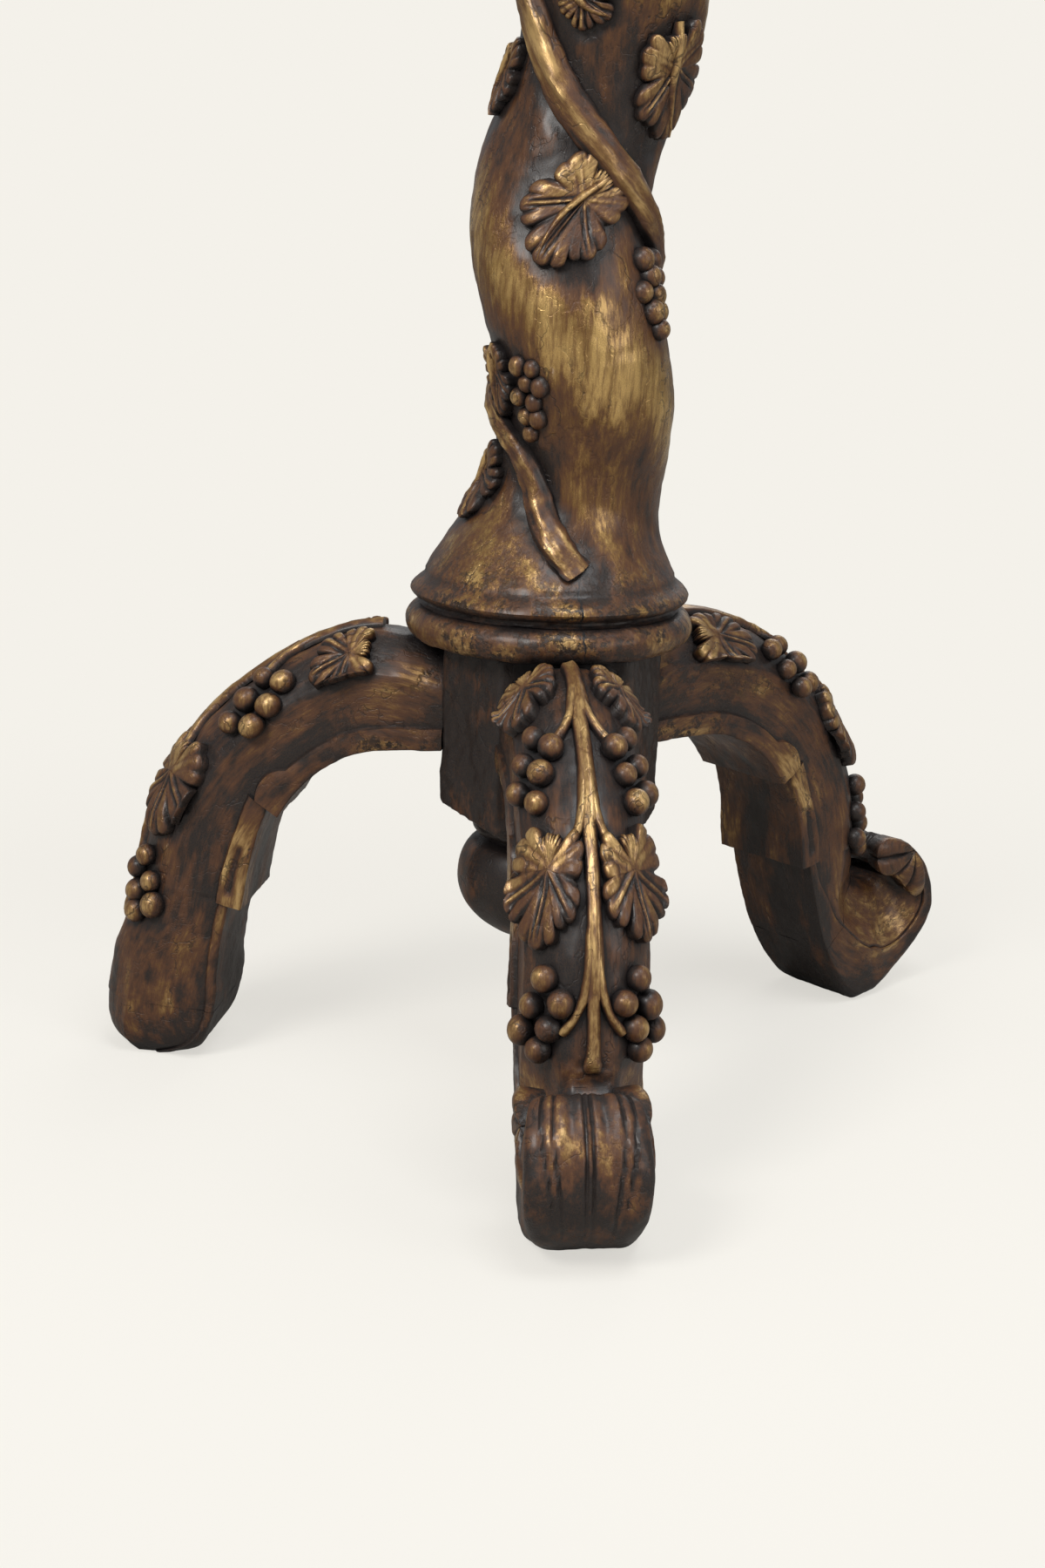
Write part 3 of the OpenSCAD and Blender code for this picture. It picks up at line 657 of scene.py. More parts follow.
class Carving:
    """Points, faces and heights of one carved piece, gathered shape by shape."""

    def __init__(self):
        self.points, self.faces, self.raised, self.flat = [], [], [], []

    def add(self, point, high, flat):
        self.points.append(point)
        self.raised.append(high)
        self.flat.extend(flat)

    def loft(self, rings):
        """Skins a stack of rings of (point, raised, place on the flat), and caps its ends."""
        first, count = len(self.points), len(rings[0])
        for ring in rings:
            for point, high, flat in ring:
                self.add(point, high, flat)
        for row in range(len(rings) - 1):
            for k in range(count):
                a = first + row * count + k
                b = first + row * count + (k + 1) % count
                self.faces.append((a, a + count, b + count, b))
        for end in (0, len(rings) - 1):
            start = first + end * count
            middle = len(self.points)
            self.add(sum((p for p, _, _ in rings[end]), Vector()) / count,
                     sum(h for _, h, _ in rings[end]) / count,
                     sum((f for _, _, f in rings[end]), Vector()) / count)
            for k in range(count):
                a, b = start + k, start + (k + 1) % count
                self.faces.append((a, b, middle) if end == 0 else (b, a, middle))

    def make(self, name):
        """Makes the gathered shapes one piece."""
        mesh = bpy.data.meshes.new(name)
        mesh.from_pydata(self.points, [], self.faces)
        heights = mesh.attributes.new("raised", "FLOAT", "POINT")
        heights.data.foreach_set("value", self.raised)
        flats = mesh.attributes.new("flat", "FLOAT_VECTOR", "POINT")
        flats.data.foreach_set("vector", self.flat)
        piece = bpy.data.objects.new(name, mesh)
        bpy.context.collection.objects.link(piece)
        only(piece)
        bpy.ops.object.mode_set(mode="EDIT")
        bpy.ops.mesh.select_all(action="SELECT")
        bpy.ops.mesh.normals_make_consistent(inside=False)
        bpy.ops.object.mode_set(mode="OBJECT")
        return piece


def curled_leaf(carving, leg, side):
    """The leaf that curls over one side of a scroll's tip, with its lobes to the dish."""
    out, up = curl_root
    out += leg_reach[leg] - leg_reach[RIGHT]
    up += (scroll_rise[leg] - scroll_rise[RIGHT]) * 2.2
    level = curl_level - 2.6 * (leg == FRONT)
    swing = scroll_swing[leg] * 0.95
    rings = []
    for step in range(61):
        part = step / 60
        turn = curl_turn[0] + curl_turn[1] * part
        reach = curve(curl_reach, part * (len(curl_reach) - 1))
        lobe = abs(math.sin(math.pi * curl_lobes * part))
        reach *= 0.9 + 0.12 * lobe ** 0.5
        ring = []
        for k in range(19):
            t = k / 18
            puff = curl_puff * math.sin(math.pi * min(0.08 + 0.8 * t, 1)) ** 0.8
            groove = 1.7 * bell(lobe, 0.32) * ease(t, 0.15, 0.45)
            ring.append((level + puff * (1 - 0.35 * bell(lobe, 0.4)) - groove - 3 * t ** 6,
                         reach * t, 0.56 - 0.34 * bell(lobe, 0.3) * ease(t, 0, 0.3)
                         + 0.12 * t))
        ring.append((level - 7, reach * 0.97, 0.16))
        ring.append((level - 15, reach * 0.9, 0.05))
        ring.append((level - 17, 0, 0.05))
        rings.append([(leg_frame(leg, out + far * cos(turn), side * v + swing,
                                 up + far * sin(turn)), high, Vector((v, far, 40 * part)))
                      for v, far, high in ring])
    carving.loft(rings)


def worn_flat(piece):
    """Rubs a foot flat where it stands, and keeps a leg just inside its own length."""
    mesh, shy = piece.data, 0.05 * MM
    for vertex in mesh.vertices:
        vertex.co.z = max(vertex.co.z, 0)
        vertex.co.x = max(vertex.co.x, cad_box[0][0] + shy)
        vertex.co.y = max(vertex.co.y, cad_box[0][1] + shy)
    mesh.update()


def stations(start, end, step):
    """Places along a leg, with close pairs at the straps' ends."""
    places = [start + k * step for k in range(int(round((end - start) / step)) + 1)]
    for stop in strap_end:
        if start < stop < end:
            places = [s for s in places if abs(s - stop) > step * 0.6]
            places += [stop - 0.03, stop, stop + 0.012, stop + 0.04]
    return sorted(places)


carved_gilding = worn_gilding("carved_gilding", 0.03, streak=0.6, chips=0.7, patchy=2.7,
                              crusted=[40, 110])
for leg, name in enumerate(leg_names):
    joint = toe_station[leg]
    body = Carving()
    body.loft([leg_ring(leg, s) for s in stations(0, joint, 0.04)])
    fit(body.make("leg_body_" + name), "leg_" + name, carved_gilding,
        [[0.8, 17, leg + 4], [0.35, 5, leg + 8]], 35, worn_flat)

    tip = len(outer_edge[leg]) - 1
    scroll = Carving()
    scroll.loft([leg_ring(leg, s, 34) for s in stations(joint, tip, 0.05)])
    if leg != LEFT:
        curled_leaf(scroll, leg, -1)
        curled_leaf(scroll, leg, 1)
    fit(scroll.make("toe_scroll_" + name), "toe_" + name, carved_gilding,
        [[0.7, 15, leg + 12], [0.3, 5, leg + 16]], 35, worn_flat)

# ---- Ornament of the legs ----
# A forked vine stem runs down each leg's crest, with vine leaves and bunches of grapes on
# both shoulders: carved in high relief and gilded, so the gold has stayed on their tops.


def leg_ground(leg):
    """Point at a height above a leg's face, for distances down and aside on it."""
    def at(down, aside, high):
        s = down / span
        wide = half_width(leg, s) - flank_in
        q = min(max(aside / wide, -1), 1)
        slope = 2.6 * dome_at(leg, s) * abs(q) ** 1.6 * math.copysign(1, q) / wide
        k = high / math.sqrt(1 + slope * slope)
        outer, across, _ = side_view(leg, s)
        point = outer + across * (dome_at(leg, s) * abs(q) ** 2.6 - k)
        return leg_frame(leg, point.x, aside + slope * k, point.y)
    return at


def run_at(path, s):
    """How far the first two values of a path move past a place on it."""
    ahead = curve(path, min(s + 0.05, len(path) - 1))
    behind = curve(path, max(s - 0.05, 0))
    return Vector((ahead[0] - behind[0], ahead[1] - behind[1]))


def stalk(carving, ground, path, ridges=0):
    """A round-backed stalk along a path of [down, aside, half width, height]."""
    rings = []
    for step in range((len(path) - 1) * 6 + 1):
        down, aside, wide, high = curve(path, step / 6)
        run = run_at(path, step / 6).normalized()
        ring = []
        for k in range(13):
            turn = 180 - k * 15
            rib = 1 + 0.1 * cos(ridges * turn) if ridges else 1
            over = wide * cos(turn)
            up = high * max(sin(turn), 0) ** 0.75 * rib
            ring.append((ground(down - run.y * over, aside + run.x * over, up - 0.6),
                         0.15 + 0.75 * sin(turn), Vector((aside, over, down))))
        ring.append((ground(down, aside, -2), 0, Vector((aside, 0, down))))
        rings.append(ring)
    carving.loft(rings)


def vine_leaf(carving, ground, down, aside, long, wide, turn, high, seed):
    """A vine leaf: each lobe has a raised rib between two cuts, and a gouged, scalloped edge.

    Its stalk end is up and its tip down, before it is turned."""
    dice = random.Random(seed)
    lobes = [[middle + dice.uniform(-4, 4), size * dice.uniform(0.94, 1.04), half]
             for middle, size, half in (
                 [0, 1.20, 30], [57, 1.16, 27], [-57, 1.16, 27],
                 [116, 0.98, 32], [-116, 0.98, 32], [165, 0.6, 17], [-165, 0.6, 17])]
    stalk_end = 0.14
    cos_turn, sin_turn = cos(turn), sin(turn)
    angles, parts = 180, [0.001, 0.1, 0.2, 0.3, 0.42, 0.54, 0.66, 0.77, 0.86, 0.93, 0.975, 1, 1.01]
    rings = [[] for _ in parts]
    for k in range(angles):
        angle = k * 360 / angles - 180
        middle, size, half = min(
            lobes, key=lambda lobe: abs((angle - lobe[0] + 180) % 360 - 180) / lobe[2])
        off = ((angle - middle + 180) % 360 - 180) / half
        inside = max(cos(min(abs(off), 1) * 90), 0)
        finger = abs(cos(off * 270))
        reach = size * (0.74 + 0.19 * inside ** 0.6 + 0.07 * finger ** 0.7) / 2
        for ring, part in zip(rings, parts):
            r = reach * min(part, 1)
            u = (r * cos(angle) - stalk_end) * long
            v = r * sin(angle) * wide
            arm = math.hypot(u + stalk_end * long, v)
            from_rib = arm * abs(sin(off * half))
            veined = ease(part, 0.96, 0.76) * ease(abs(middle), 150, 60)
            rib = bell(from_rib, 0.8) * veined
            beside = bell(from_rib - 1.7, 0.65) * veined * ease(arm, 0, 7)
            between = max(abs(off) - 0.8, 0) / 0.2 * ease(part, 0.3, 0.7)
            gouge = max(1 - finger / 0.55, 0) ** 1.3 * ease(part, 0.6, 0.9)
            gouge *= 0.9 if abs(middle) < 90 else 0.6
            bowl = 0.70 + 0.30 * ease(part, 0.25, 0.8)
            rolled = max(1 - min(part, 1) ** 12, 0) ** 0.5
            up = (high * bowl * (0.5 + 0.5 * rolled) + 0.5 * rib - 1.3 * beside
                  - 1.6 * between - 1.9 * gouge)
            shown = (0.20 + 0.50 * bowl * rolled + 0.25 * rib - 0.7 * beside
                     - 0.3 * between - 0.65 * gouge)
            if part > 1:
                up, shown = -1.5, 0
            ring.append((ground(down + u * cos_turn - v * sin_turn,
                                aside + u * sin_turn + v * cos_turn, up),
                         shown, Vector((v, up, u))))
    carving.loft(rings)


def grape(carving, ground, down, aside, width, seed):
    """One carved grape, a little flattened, let into the ground."""
    dice = random.Random(seed)
    foot = ground(down, aside, 0)
    out = (ground(down, aside, 1) - foot).normalized()
    side = (ground(down, aside + 1, 0) - foot).normalized()
    other = out.cross(side).normalized()
    side = other.cross(out)
    r = width / 2 * MM * dice.uniform(0.92, 1.08)
    centre = foot + out * r * dice.uniform(0.2, 0.45)
    long = dice.uniform(1.0, 1.16)
    rings = []
    for row in range(1, 12):
        lift = -90 + row * 180 / 12
        ring = []
        for k in range(20):
            turn = k * 18
            step = Vector((cos(lift) * cos(turn), cos(lift) * sin(turn), sin(lift)))
            point = centre + (side * step.x + other * step.y * long + out * step.z) * r
            ring.append((point, 0.2 + 0.55 * step.z, point / MM))
        rings.append(ring)
    carving.loft(rings)


ornament_gilding = worn_gilding("ornament_gilding", 0.07, streak=0.3, patchy=2.3)
stem_start, forks = 44, [94, 152, 224]
# The two leaves on a shoulder, from the top: [long, wide, lean, high].
leg_leaf = [[46, 33, 10, 7], [56, 37, 14, 7.5]]
# The grapes of a bunch: [down, aside].
leg_bunch = [[-20, 1], [-10, -7], [-8, 7], [2, -1], [5, 11], [15, 3]]
grape_w = 15

for leg, name in enumerate(leg_names):
    ground = leg_ground(leg)
    stem, leaves, bunches = Carving(), Carving(), Carving()
    lengths = zip([stem_start, *forks], [*[fork + 4 for fork in forks], stem_end])
    for k, (start, end) in enumerate(lengths):
        top, foot = 5.6 - 0.5 * k, 7.4 - 0.6 * k
        stalk(stem, ground, [[start, 0, top, 5.6], [(start + end) / 2, 0.6, top, 5.4],
                             [end - 8, 0, foot, 5.6], [end, 0, foot * 0.7, 4.6]], 5)
    for fork in forks:
        for side in (-1, 1):
            stalk(stem, ground, [
                [fork - 18, side * 2, 2.4, 5.2], [fork - 2, side * 4.4, 3.0, 5.6],
                [fork + 9, side * 9.5, 2.6, 5.0], [fork + 18, side * 17, 2.8, 4.6]])
    for side in (-1, 1):
        for row, (long, wide, lean, high) in enumerate(leg_leaf):
            (leaf_at, leaf_off), (bunch_at, bunch_off) = ornament_row(leg, row)
            vine_leaf(leaves, ground, leaf_at, side * leaf_off, long,
                      wide - upper_aside[leg] * (row == 0), side * lean, high,
                      leg * 10 + side + 3 * row)
            for number, (down, aside) in enumerate(leg_bunch):
                grape(bunches, ground, bunch_at + down, side * (bunch_off + aside), grape_w,
                      leg * 100 + row * 20 + number + side)
    fit(stem.make("vine_stem_" + name), "stem_" + name, ornament_gilding,
        [[0.5, 5, leg + 20]])
    fit(leaves.make("vine_leaves_" + name), "leaves_" + name, ornament_gilding,
        [[0.5, 6, leg + 24]])
    fit(bunches.make("grape_bunches_" + name), "grapes_" + name, ornament_gilding,
        angle=60)

# ---- Collar ----
# The turned ring between hub and column: a heavy half-round moulding under a hollow. The
# gesso has cracked along its edge.


def moulding(r, z, wide, tall, first, step):
    """Half-round profile about a point: 17 places in even steps from a first angle."""
    return [[r + wide * cos(first + k * step), z + tall * sin(first + k * step)]
            for k in range(17)]


collar_z, collar_head, collar_r = height_and_radius("collar")
roll_r = 11
collar_profile = [[70, collar_z], [75, collar_z + 0.4]]
collar_profile += moulding(collar_r - roll_r, collar_z + 12, roll_r, roll_r, -80, 10.6)
collar_profile += [[82, collar_z + 23.2], [80, collar_z + 24.2], [79.4, collar_z + 25.5],
                   [80, collar_z + 27], [82, collar_head]]
# The gesso's two splits, which run on up the column's foot: [direction, foot, head].
gesso_splits = [[14, 290, 352], [70, 286, 350]]
collar_gilding = worn_gilding("collar_gilding", 0.16, raised=0.54, streak=0, chips=1.0,
                              crusted=[320, 380], splits=gesso_splits)
fit(turned("collar_ring", collar_profile, 180), "collar", collar_gilding,
    [[1.1, 20, 30], [0.4, 5, 31]])

# ---- Column ----
# The trunk is one length of softwood, turned and then carved to a left-hand twist that
# swells and winds up from a flared foot. Its gold is streaky with age and partly painted
# highlight on the swells, and the hollows of the twist are painted dark as shade.
column_z, column_top, _ = height_and_radius("column")
trunk_r = 54.5
twist_r = 12.5
twist_pitch = 261
twist_z = 424
bow = 14
neck_in = 6
foot_r = 87
flare_h = 80
flare_bend = 1.75
lip_h = 4
trunk_sides = 132
trunk_row = 2.1
ease_h = 74


def twist_at(z):
    """How far the trunk has turned at a height, and how far it stands off its axis."""
    share = min(ease(z - column_z, 0, ease_h), ease(column_top - z, 0, ease_h))
    return 360 * (twist_z - z) / twist_pitch, twist_r * share


def trunk_point(turn, z, high):
    """Point outside the trunk, in direction turn round its own centre."""
    angle, off = twist_at(z)
    lean = bow * math.sin(math.pi * (z - column_z) / (column_top - column_z))
    up = z - column_z - lip_h
    radius = trunk_r - neck_in * ease(column_top - z, 80, 0) + high
    radius += (foot_r - trunk_r) * max(1 - max(up, 0) / flare_h, 0) ** flare_bend
    return Vector((off * cos(angle) + lean + radius * sin(turn),
                   off * sin(angle) - radius * cos(turn),
                   z)) * MM


# The vine's way round the trunk, from its broken foot up, as [direction, height].
vine_path = [
    [17, 342], [6, 354], [-13, 376], [-35, 404], [-58, 422], [-90, 440], [-140, 466],
    [-205, 498], [-262, 530], [-303, 562], [-342, 594], [-384, 632], [-427, 683],
    [-468, 722], [-520, 762], [-570, 800], [-620, 838], [-672, 878], [-724, 918],
    [-776, 956], [-828, 994], [-880, 1032], [-932, 1068], [-975, 1096]]
vine_size = [1, 1, 1, 0.9, 0.8, 0.8, 0.8, 0.8, 0.9, 1, 1, 1, 1,
             0.9, 0.9, 0.9, 0.9, 0.9, 0.9, 0.9, 0.8, 0.7, 0.6, 0.4]
vine_r = 9
# Leaves on the trunk: [direction, height, long, wide, turn].
leaves_low = [
    [-66, 455, 46, 30, 8], [-78, 390, 50, 42, 20], [6, 557, 74, 56, -38], [54, 632, 74, 54, 20],
    [-76, 632, 48, 32, 0], [-16, 676, 34, 28, 60], [150, 440, 60, 46, 20],
    [134, 384, 46, 38, -20], [205, 560, 64, 50, 30]]
leaves_high = [
    [130, 716, 62, 50, -20], [-120, 794, 64, 50, 20], [15, 800, 66, 54, -25],
    [100, 906, 60, 48, 25], [-60, 870, 64, 52, 10], [170, 880, 64, 50, -20],
    [16, 976, 62, 50, 30], [-100, 1060, 60, 48, 0], [118, 1016, 54, 44, -15]]

vine_track = [[*curve(vine_path, k / 12), vine_r * curve(vine_size, k / 12)]
              for k in range((len(vine_path) - 1) * 12 + 1)]


def round_gap(turn, other):
    """Distance round the trunk between two directions."""
    return math.radians((turn - other + 180) % 360 - 180) * trunk_r


def beside_vine(turn, z):
    """1 right beside the vine, fading to 0 half its own width away from it."""
    gaps = [math.hypot(round_gap(turn, place), height - z) - half
            for place, height, half in vine_track if abs(height - z) < 26]
    return ease(min(gaps, default=99), 9, 0)


def beside_leaf(turn, z):
    """1 under a leaf and at its edge, fading to 0 a few millimetres beyond it."""
    shares = [math.hypot(round_gap(turn, place) / wide, (height - z) / long) * 2
              for place, height, long, wide, _ in leaves_low + leaves_high
              if abs(height - z) < 50]
    return ease(min(shares, default=9), 1.45, 1)


trunk = Carving()
rows = int((column_top - column_z - lip_h) / trunk_row)
heights = [column_z, column_z + 1.3, column_z + 2.6]
heights += [column_z + lip_h + (column_top - column_z - lip_h) * k / rows for k in range(rows + 1)]
trunk_rings = []
for z in heights:
    ring = []
    for k in range(trunk_sides):
        turn = k * 360 / trunk_sides
        vine_side, leaf_side = beside_vine(turn, z), beside_leaf(turn, z)
        angle, off = twist_at(z)
        bulge = cos(turn - angle - 90) * off / twist_r
        up = z - column_z - lip_h
        lip = 1.6 * bell(up - 2.5, 3.2) - 1.6 * bell(up - 9.5, 2) - 3 * bell(up + 5, 2.2)
        fold = 1.1 * sin(turn * 3 + z * 1.9) * ease(z, 400, 460)
        # More gold is left where the twist swells, low on its front and on the flare, and part
        # of it is painted highlight: on the swells, and as the sheen on the flare towards the
        # window light. The dark hollows of the twist, the dark cove above the lip and the darker
        # ground beside the vine and round the leaves are painted shade.
        rubbed_and_highlight = bell(round_gap(turn, 8), 30) * bell(z - 390, 90)
        rubbed_and_highlight += bell(up - 34, 32) * (0.35 + 0.65 * bell(round_gap(turn, -40), 50))
        high = 0.26 + 0.60 * max(bulge, 0) ** 1.9 - 0.45 * vine_side - 0.32 * leaf_side
        high += 0.12 * bell(up - 2, 5) - 0.25 * bell(up - 9.5, 2.5) + 0.35 * rubbed_and_highlight
        point = trunk_point(turn, z, lip + fold - 1.6 * vine_side - 1.0 * leaf_side)
        ring.append((point, high, point / MM))
    trunk_rings.append(ring)
trunk.loft(trunk_rings)
trunk_gilding = worn_gilding("trunk_gilding", 0.10, streak=0.72, gloss=0.22, chips=0.8,
                             warm=1.12, crusted=[318, 372], splits=gesso_splits)
fit(trunk.make("twisted_trunk"), "column", trunk_gilding,
    [[1.0, 24, 40], [0.4, 7, 41]], 40)

# ---- Vine on the column ----
# A thick vine winds up the hollow of the trunk's twist: carved in three lengths that are
# glued on end to end. Its foot has broken off on the flare.


def vine_length(level, start, end, seed):
    """One length of the vine, with shallow grooves along it."""
    carving = Carving()
    rings = []
    steps = int((end - start) * 14)
    for step in range(steps + 1):
        s = start + (end - start) * step / steps
        turn, z = curve(vine_path, s)
        run = run_at(vine_path, s)
        run.x = math.radians(run.x) * trunk_r
        run.normalize()
        r = vine_r * curve(vine_size, s) * (1.04 + 0.10 * noise.noise(Vector((s * 3, seed, 0))))
        r *= 0.82 + 0.18 * ease(s, 3, 6)
        sunk = 0.3 + 0.7 * ease(s, 0.3, 1.5)
        ring = []
        for k in range(17):
            over = math.radians(195 - 210 * k / 16)
            groove = 0.07 * math.cos(5 * over + s * 2.2) + 0.05 * math.cos(9 * over - s * 1.3)
            far = r * math.cos(over) * (1 + groove * 0.4)
            up = r * 1.02 * math.sin(over) * (1 + groove) * sunk
            aside = math.degrees(run.y * far / trunk_r)
            ring.append((trunk_point(turn + aside, z - run.x * far, up),
                         0.05 + 0.72 * math.sin(over) + 2.4 * groove,
                         Vector((far, up, s * 32))))
        ring.append((trunk_point(turn, z, -4), 0, Vector((0, -4, s * 32))))
        rings.append(ring)
    carving.loft(rings)
    fit(carving.make("vine_length_" + level), "vine_" + level, ornament_gilding,
        [[0.9, 9, seed], [0.4, 3.5, seed + 1]])


vine_length("lower", 0.4, 7, 50)
vine_length("middle", 7, 15, 52)
vine_length("upper", 15, 23, 54)

# ---- Leaves and grapes on the column ----
# Single vine leaves and hanging bunches, carved in relief and spread between the turns
# of the vine.


def trunk_ground(turn, z):
    """Point at a height above the trunk, for distances down and aside from one place."""
    def at(down, aside, high):
        return trunk_point(turn + math.degrees(aside / trunk_r), z - down, high - 0.6)
    return at


# The bunches on the trunk, as [direction, height], and a bunch's grapes: [down, aside].
bunches_low = [[64, 511], [-38, 447], [180, 640]]
bunches_high = [[-30, 742], [80, 776], [-140, 900], [66, 966], [-30, 1050]]
trunk_bunch = [[-24, -5], [-23, 8], [-12, 1], [-10, 13], [-1, -8], [2, 6], [13, -2], [14, 9],
               [26, 2]]
for level, leaf_places, bunch_places in (
        ("lower", leaves_low, bunches_low), ("upper", leaves_high, bunches_high)):
    leaves, bunches = Carving(), Carving()
    for number, (turn, z, long, wide, lean) in enumerate(leaf_places):
        ground = trunk_ground(turn, z)
        vine_leaf(leaves, ground, 0, 0, long, wide, lean, 6.5, number)
        ahead, aside = cos(lean), sin(lean)
        stalk(leaves, ground, [
            [long * (part * ahead - bend * aside), long * (part * aside + bend * ahead), half, up]
            for part, bend, half, up in (
                [-0.5, 0.06, 3.0, 4], [-0.3, 0.0, 3.2, 8], [0, -0.05, 2.6, 8.2],
                [0.25, -0.03, 1.8, 8], [0.44, 0.02, 0.9, 6.6])])
    for number, (turn, z) in enumerate(bunch_places):
        small = 0.76 if z < 500 else 0.94
        for berry, (down, aside) in enumerate(trunk_bunch):
            grape(bunches, trunk_ground(turn, z), down * 0.82, aside * small,
                  grape_w * small, number * 20 + berry)
    fit(leaves.make("trunk_leaves_" + level), "column_leaves_" + level,
        ornament_gilding, [[0.5, 6, 60]])
    fit(bunches.make("trunk_grapes_" + level), "column_grapes_" + level,
        ornament_gilding, angle=60)

# ---- Neck ring and capital ----
# A turned ring, and above it a bell-shaped capital with eight leaves carved round it. A
# tenon runs up from the column through both into the platform.
neck_z, _, _ = height_and_radius("neck_ring")
neck_profile = [[50, neck_z], *moulding(54, neck_z + 7, 7.8, 6.9, -88, 11)]
fit(turned("neck_moulding", neck_profile, 144), "neck_ring", collar_gilding,
    [[0.7, 14, 70]])

capital_z, capital_head, abacus_r = height_and_radius("capital")
abacus_h = 14
bell_h = capital_head - capital_z - abacus_h
throat_r, bell_flare, bell_bend = 48, 40, 2.2
capital_leaf_r = 60
capital_leaf_count = 8


def bell_radius(up):
    return throat_r + bell_flare * (min(max(up, 0), bell_h) / bell_h) ** bell_bend


capital_profile = [[bell_radius(bell_h * k / 22), capital_z + bell_h * k / 22] for k in range(23)]
capital_profile += [[abacus_r - 4, capital_z + bell_h], [abacus_r - 3, capital_z + bell_h + 2.5],
                    [abacus_r - 0.8, capital_z + bell_h + 4], [abacus_r, capital_z + bell_h + 6],
                    [abacus_r, capital_head - 1.5], [abacus_r - 1, capital_head]]
fit(turned("capital_bell", capital_profile, 160), "capital", collar_gilding,
    [[0.9, 18, 72], [0.4, 5, 73]], 45)


def bell_ground(turn, z):
    """Point at a height above the bell, for distances down and aside from one place."""
    def at(down, aside, high):
        up = z - down
        r = bell_radius(up) + high
        way = turn + math.degrees(aside / capital_leaf_r)
        return Vector((r * sin(way), -r * cos(way), capital_z + up)) * MM
    return at


leaves = Carving()
for number in range(capital_leaf_count):
    ground = bell_ground(number * 360 / capital_leaf_count, 25)
    vine_leaf(leaves, ground, 0, 0, 44, 38, 180, 7, number + 40)
fit(leaves.make("capital_foliage"), "capital_leaves", ornament_gilding,
    [[0.5, 6, 74]])

# ---- Platform and rim ----
# The round top that carries the candlestick: a turned board, toned dark, with a gilded
# bead glued round its edge.
platform_z, platform_head, platform_r = height_and_radius("platform")
rim_z, _, rim_r = height_and_radius("platform_rim")
rebate_z = rim_z - 0.4
board_profile = [[platform_r - 23, platform_z], [platform_r - 21, platform_z + 0.6]]
board_profile += moulding(platform_r - 12, platform_z + 12, 12, 11.6, -74, 10.2)
board_profile += [[platform_r - 5, rebate_z], [platform_r - 10.2, rebate_z],
                  [platform_r - 10.4, platform_head], [100, platform_head], [60, platform_head],
                  [20, platform_head]]
board_gilding = worn_gilding("board_gilding", 0.02, raised=0.5, streak=0, gloss=0.42)
fit(turned("platform_board", board_profile, 200), "platform", board_gilding,
    [[0.5, 20, 76]], 45)

bead_r, bead_up = 4, 1.7
bpy.ops.object.select_all(action="DESELECT")
bpy.ops.mesh.primitive_torus_add(
    major_segments=200, minor_segments=20, major_radius=(rim_r - bead_r) * MM,
    minor_radius=bead_r * MM, location=(0, 0, (rim_z + bead_up) * MM))
bead = bpy.context.object
bead.name = "platform_bead"
bpy.ops.object.transform_apply(location=True, rotation=True, scale=True)
for vertex in bead.data.vertices:
    vertex.co.z = max(vertex.co.z, rim_z * MM)
fit(bead, "platform_rim", collar_gilding, [[0.3, 6, 78]], 60)

# ---- Hidden joinery ----
# Dowels and tenons of plain turned wood, and the screws under the platform. They keep
# the shape of the frame and get their own finish.
dowel_wood, skin, shade = new_finish("dowel_wood")
place = shade.here()
rings = shade.speckle(place, 3, 4, 0.6, (1, 1, 0.06))
fibre = shade.speckle(place, 0.8, 3, 0.6, (1, 1, 0.1))
colour = shade.tint((rings * 0.7 + fibre * 0.3).between(0.35, 0.65),
                    (0.52, 0.34, 0.18), (0.34, 0.19, 0.09))
colour.into(skin, "Base Color")
(0.6 + fibre * 0.25).into(skin, "Roughness")
dull_iron = worn_gilding("dull_iron", -0.4, raised=0.4, gloss=0.4)
for node in ("pendant_dowel", "leg_dowels", "toe_dowels", "column_tenon", "top_tenon"):
    for material_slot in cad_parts[node].material_slots:
        material_slot.material = dowel_wood
for material_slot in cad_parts["platform_screws"].material_slots:
    material_slot.material = dull_iron

# ---- Studio ----
# A pale seamless floor under soft window light from the left and above, and the camera
# at half the height of the stand, tipped down to the feet.
paper = (0.905, 0.880, 0.823)
shadow_paper = (0.42, 0.40, 0.37)
bpy.ops.object.select_all(action="DESELECT")
bpy.ops.mesh.primitive_plane_add(size=24, location=(0, 0, 0))
floor = bpy.context.object
floor.name = "floor"
floor_paper, skin, shade = new_finish("floor_paper")
seen = shade.node("LightPath", {}, {}, "Is Camera Ray")
away = shade.node("VectorMath", {"operation": "LENGTH"}, {
    0: shade.node("TexCoord", {}, {}, "Object")}, "Value")
matt = shade.node("BsdfDiffuse", {}, {"Color": shade.tint(seen, shadow_paper, paper)})
glow = shade.node("Emission", {}, {"Color": (*paper, 1), "Strength": 1.0})
seamless = seen * (away.between(0.25, 1.1) * 0.3 + 0.7)
lit = shade.node("MixShader", {}, {0: seamless, 1: matt, 2: glow})
lit.into(shade.tree.nodes["Material Output"], "Surface")
shade.tree.nodes.remove(skin)
floor.data.materials.append(floor_paper)

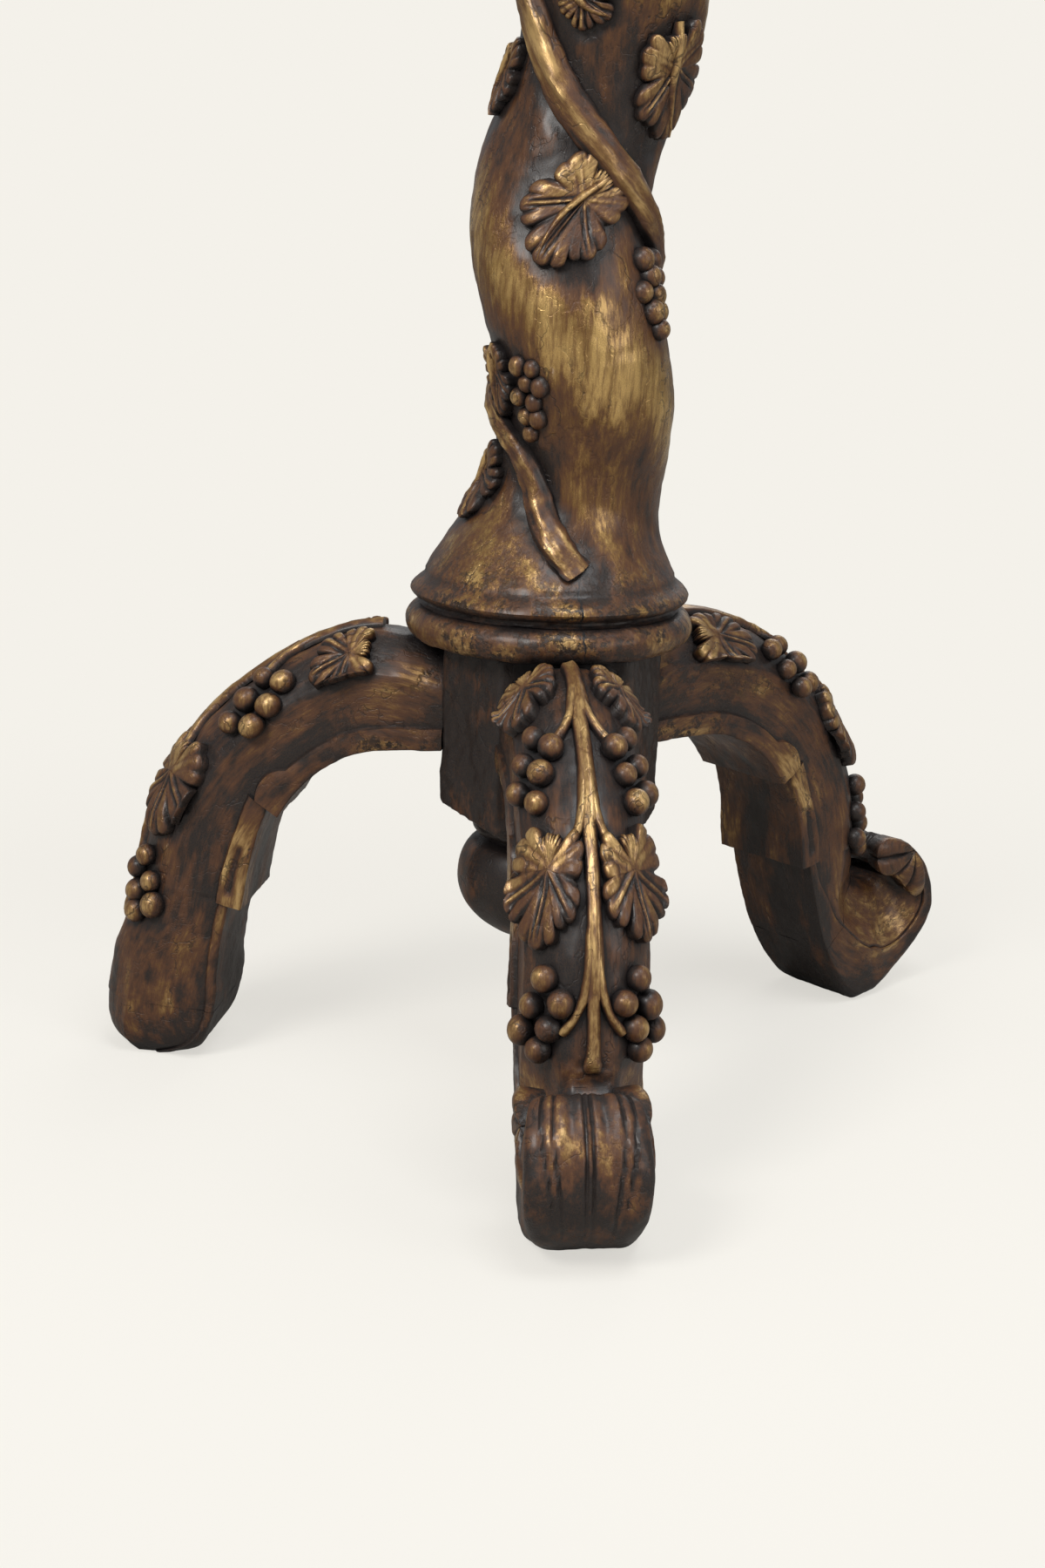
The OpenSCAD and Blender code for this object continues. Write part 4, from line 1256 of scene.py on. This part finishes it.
world = bpy.data.worlds.new("soft_room")
bpy.context.scene.world = world
world.use_nodes = True
shade = Shade(world.node_tree)
seen = shade.node("LightPath", {}, {}, "Is Camera Ray")
seen = (seen + shade.node("LightPath", {}, {}, "Is Transmission Ray")).between(0, 1)
room = shade.node("Background", {}, {"Color": (0.96, 0.98, 1.0, 1), "Strength": 0.32})
backdrop = shade.node("Background", {}, {"Color": (*paper, 1), "Strength": 1.0})
both = shade.node("MixShader", {}, {0: seen, 1: room, 2: backdrop})
both.into(shade.tree.nodes["World Output"], "Surface")


def softbox(name, place, aim, size, watts, tone):
    """A large square lamp that looks at a point of the stand."""
    lamp = bpy.data.lights.new(name, "AREA")
    lamp.shape = "SQUARE"
    lamp.size = size
    lamp.energy = watts
    lamp.color = tone
    holder = bpy.data.objects.new(name, lamp)
    holder.location = place
    holder.rotation_euler = (Vector(aim) - Vector(place)).to_track_quat("-Z", "Y").to_euler()
    bpy.context.collection.objects.link(holder)


softbox("window_light", (-1.5, -2.3, 2.4), (0, 0, 0.5), 1.1, 70, (1.0, 0.98, 0.95))
softbox("sky_light", (0.5, -1.0, 2.9), (0, 0, 0.4), 1.2, 34, (0.95, 0.98, 1.0))
softbox("fill_light", (2.4, -1.8, 1.3), (0, 0, 0.4), 1.5, 20, (1.0, 0.98, 0.96))
softbox("rim_light", (0.6, 2.6, 2.0), (0, 0, 0.5), 1.6, 18, (1.0, 0.98, 0.95))

camera_place = (0, -1.6773, 0.6350)
pitch, yaw, roll = -14.71, -0.44, 1.99
lens = bpy.data.cameras.new("camera")
lens.sensor_width = 36
lens.lens = 61.97
lens.clip_end = 60
camera = bpy.data.objects.new("camera", lens)
bpy.context.collection.objects.link(camera)
bpy.context.scene.camera = camera
ahead = Vector((sin(yaw) * cos(pitch), cos(yaw) * cos(pitch), sin(pitch)))
level = Vector((cos(yaw), -sin(yaw), 0))
upward = level.cross(ahead)
right = level * cos(roll) + upward * sin(roll)
top = upward * cos(roll) - level * sin(roll)
camera.location = camera_place
camera.rotation_euler = Matrix((right, top, -ahead)).transposed().to_euler()

bpy.context.scene.view_settings.view_transform = "Standard"
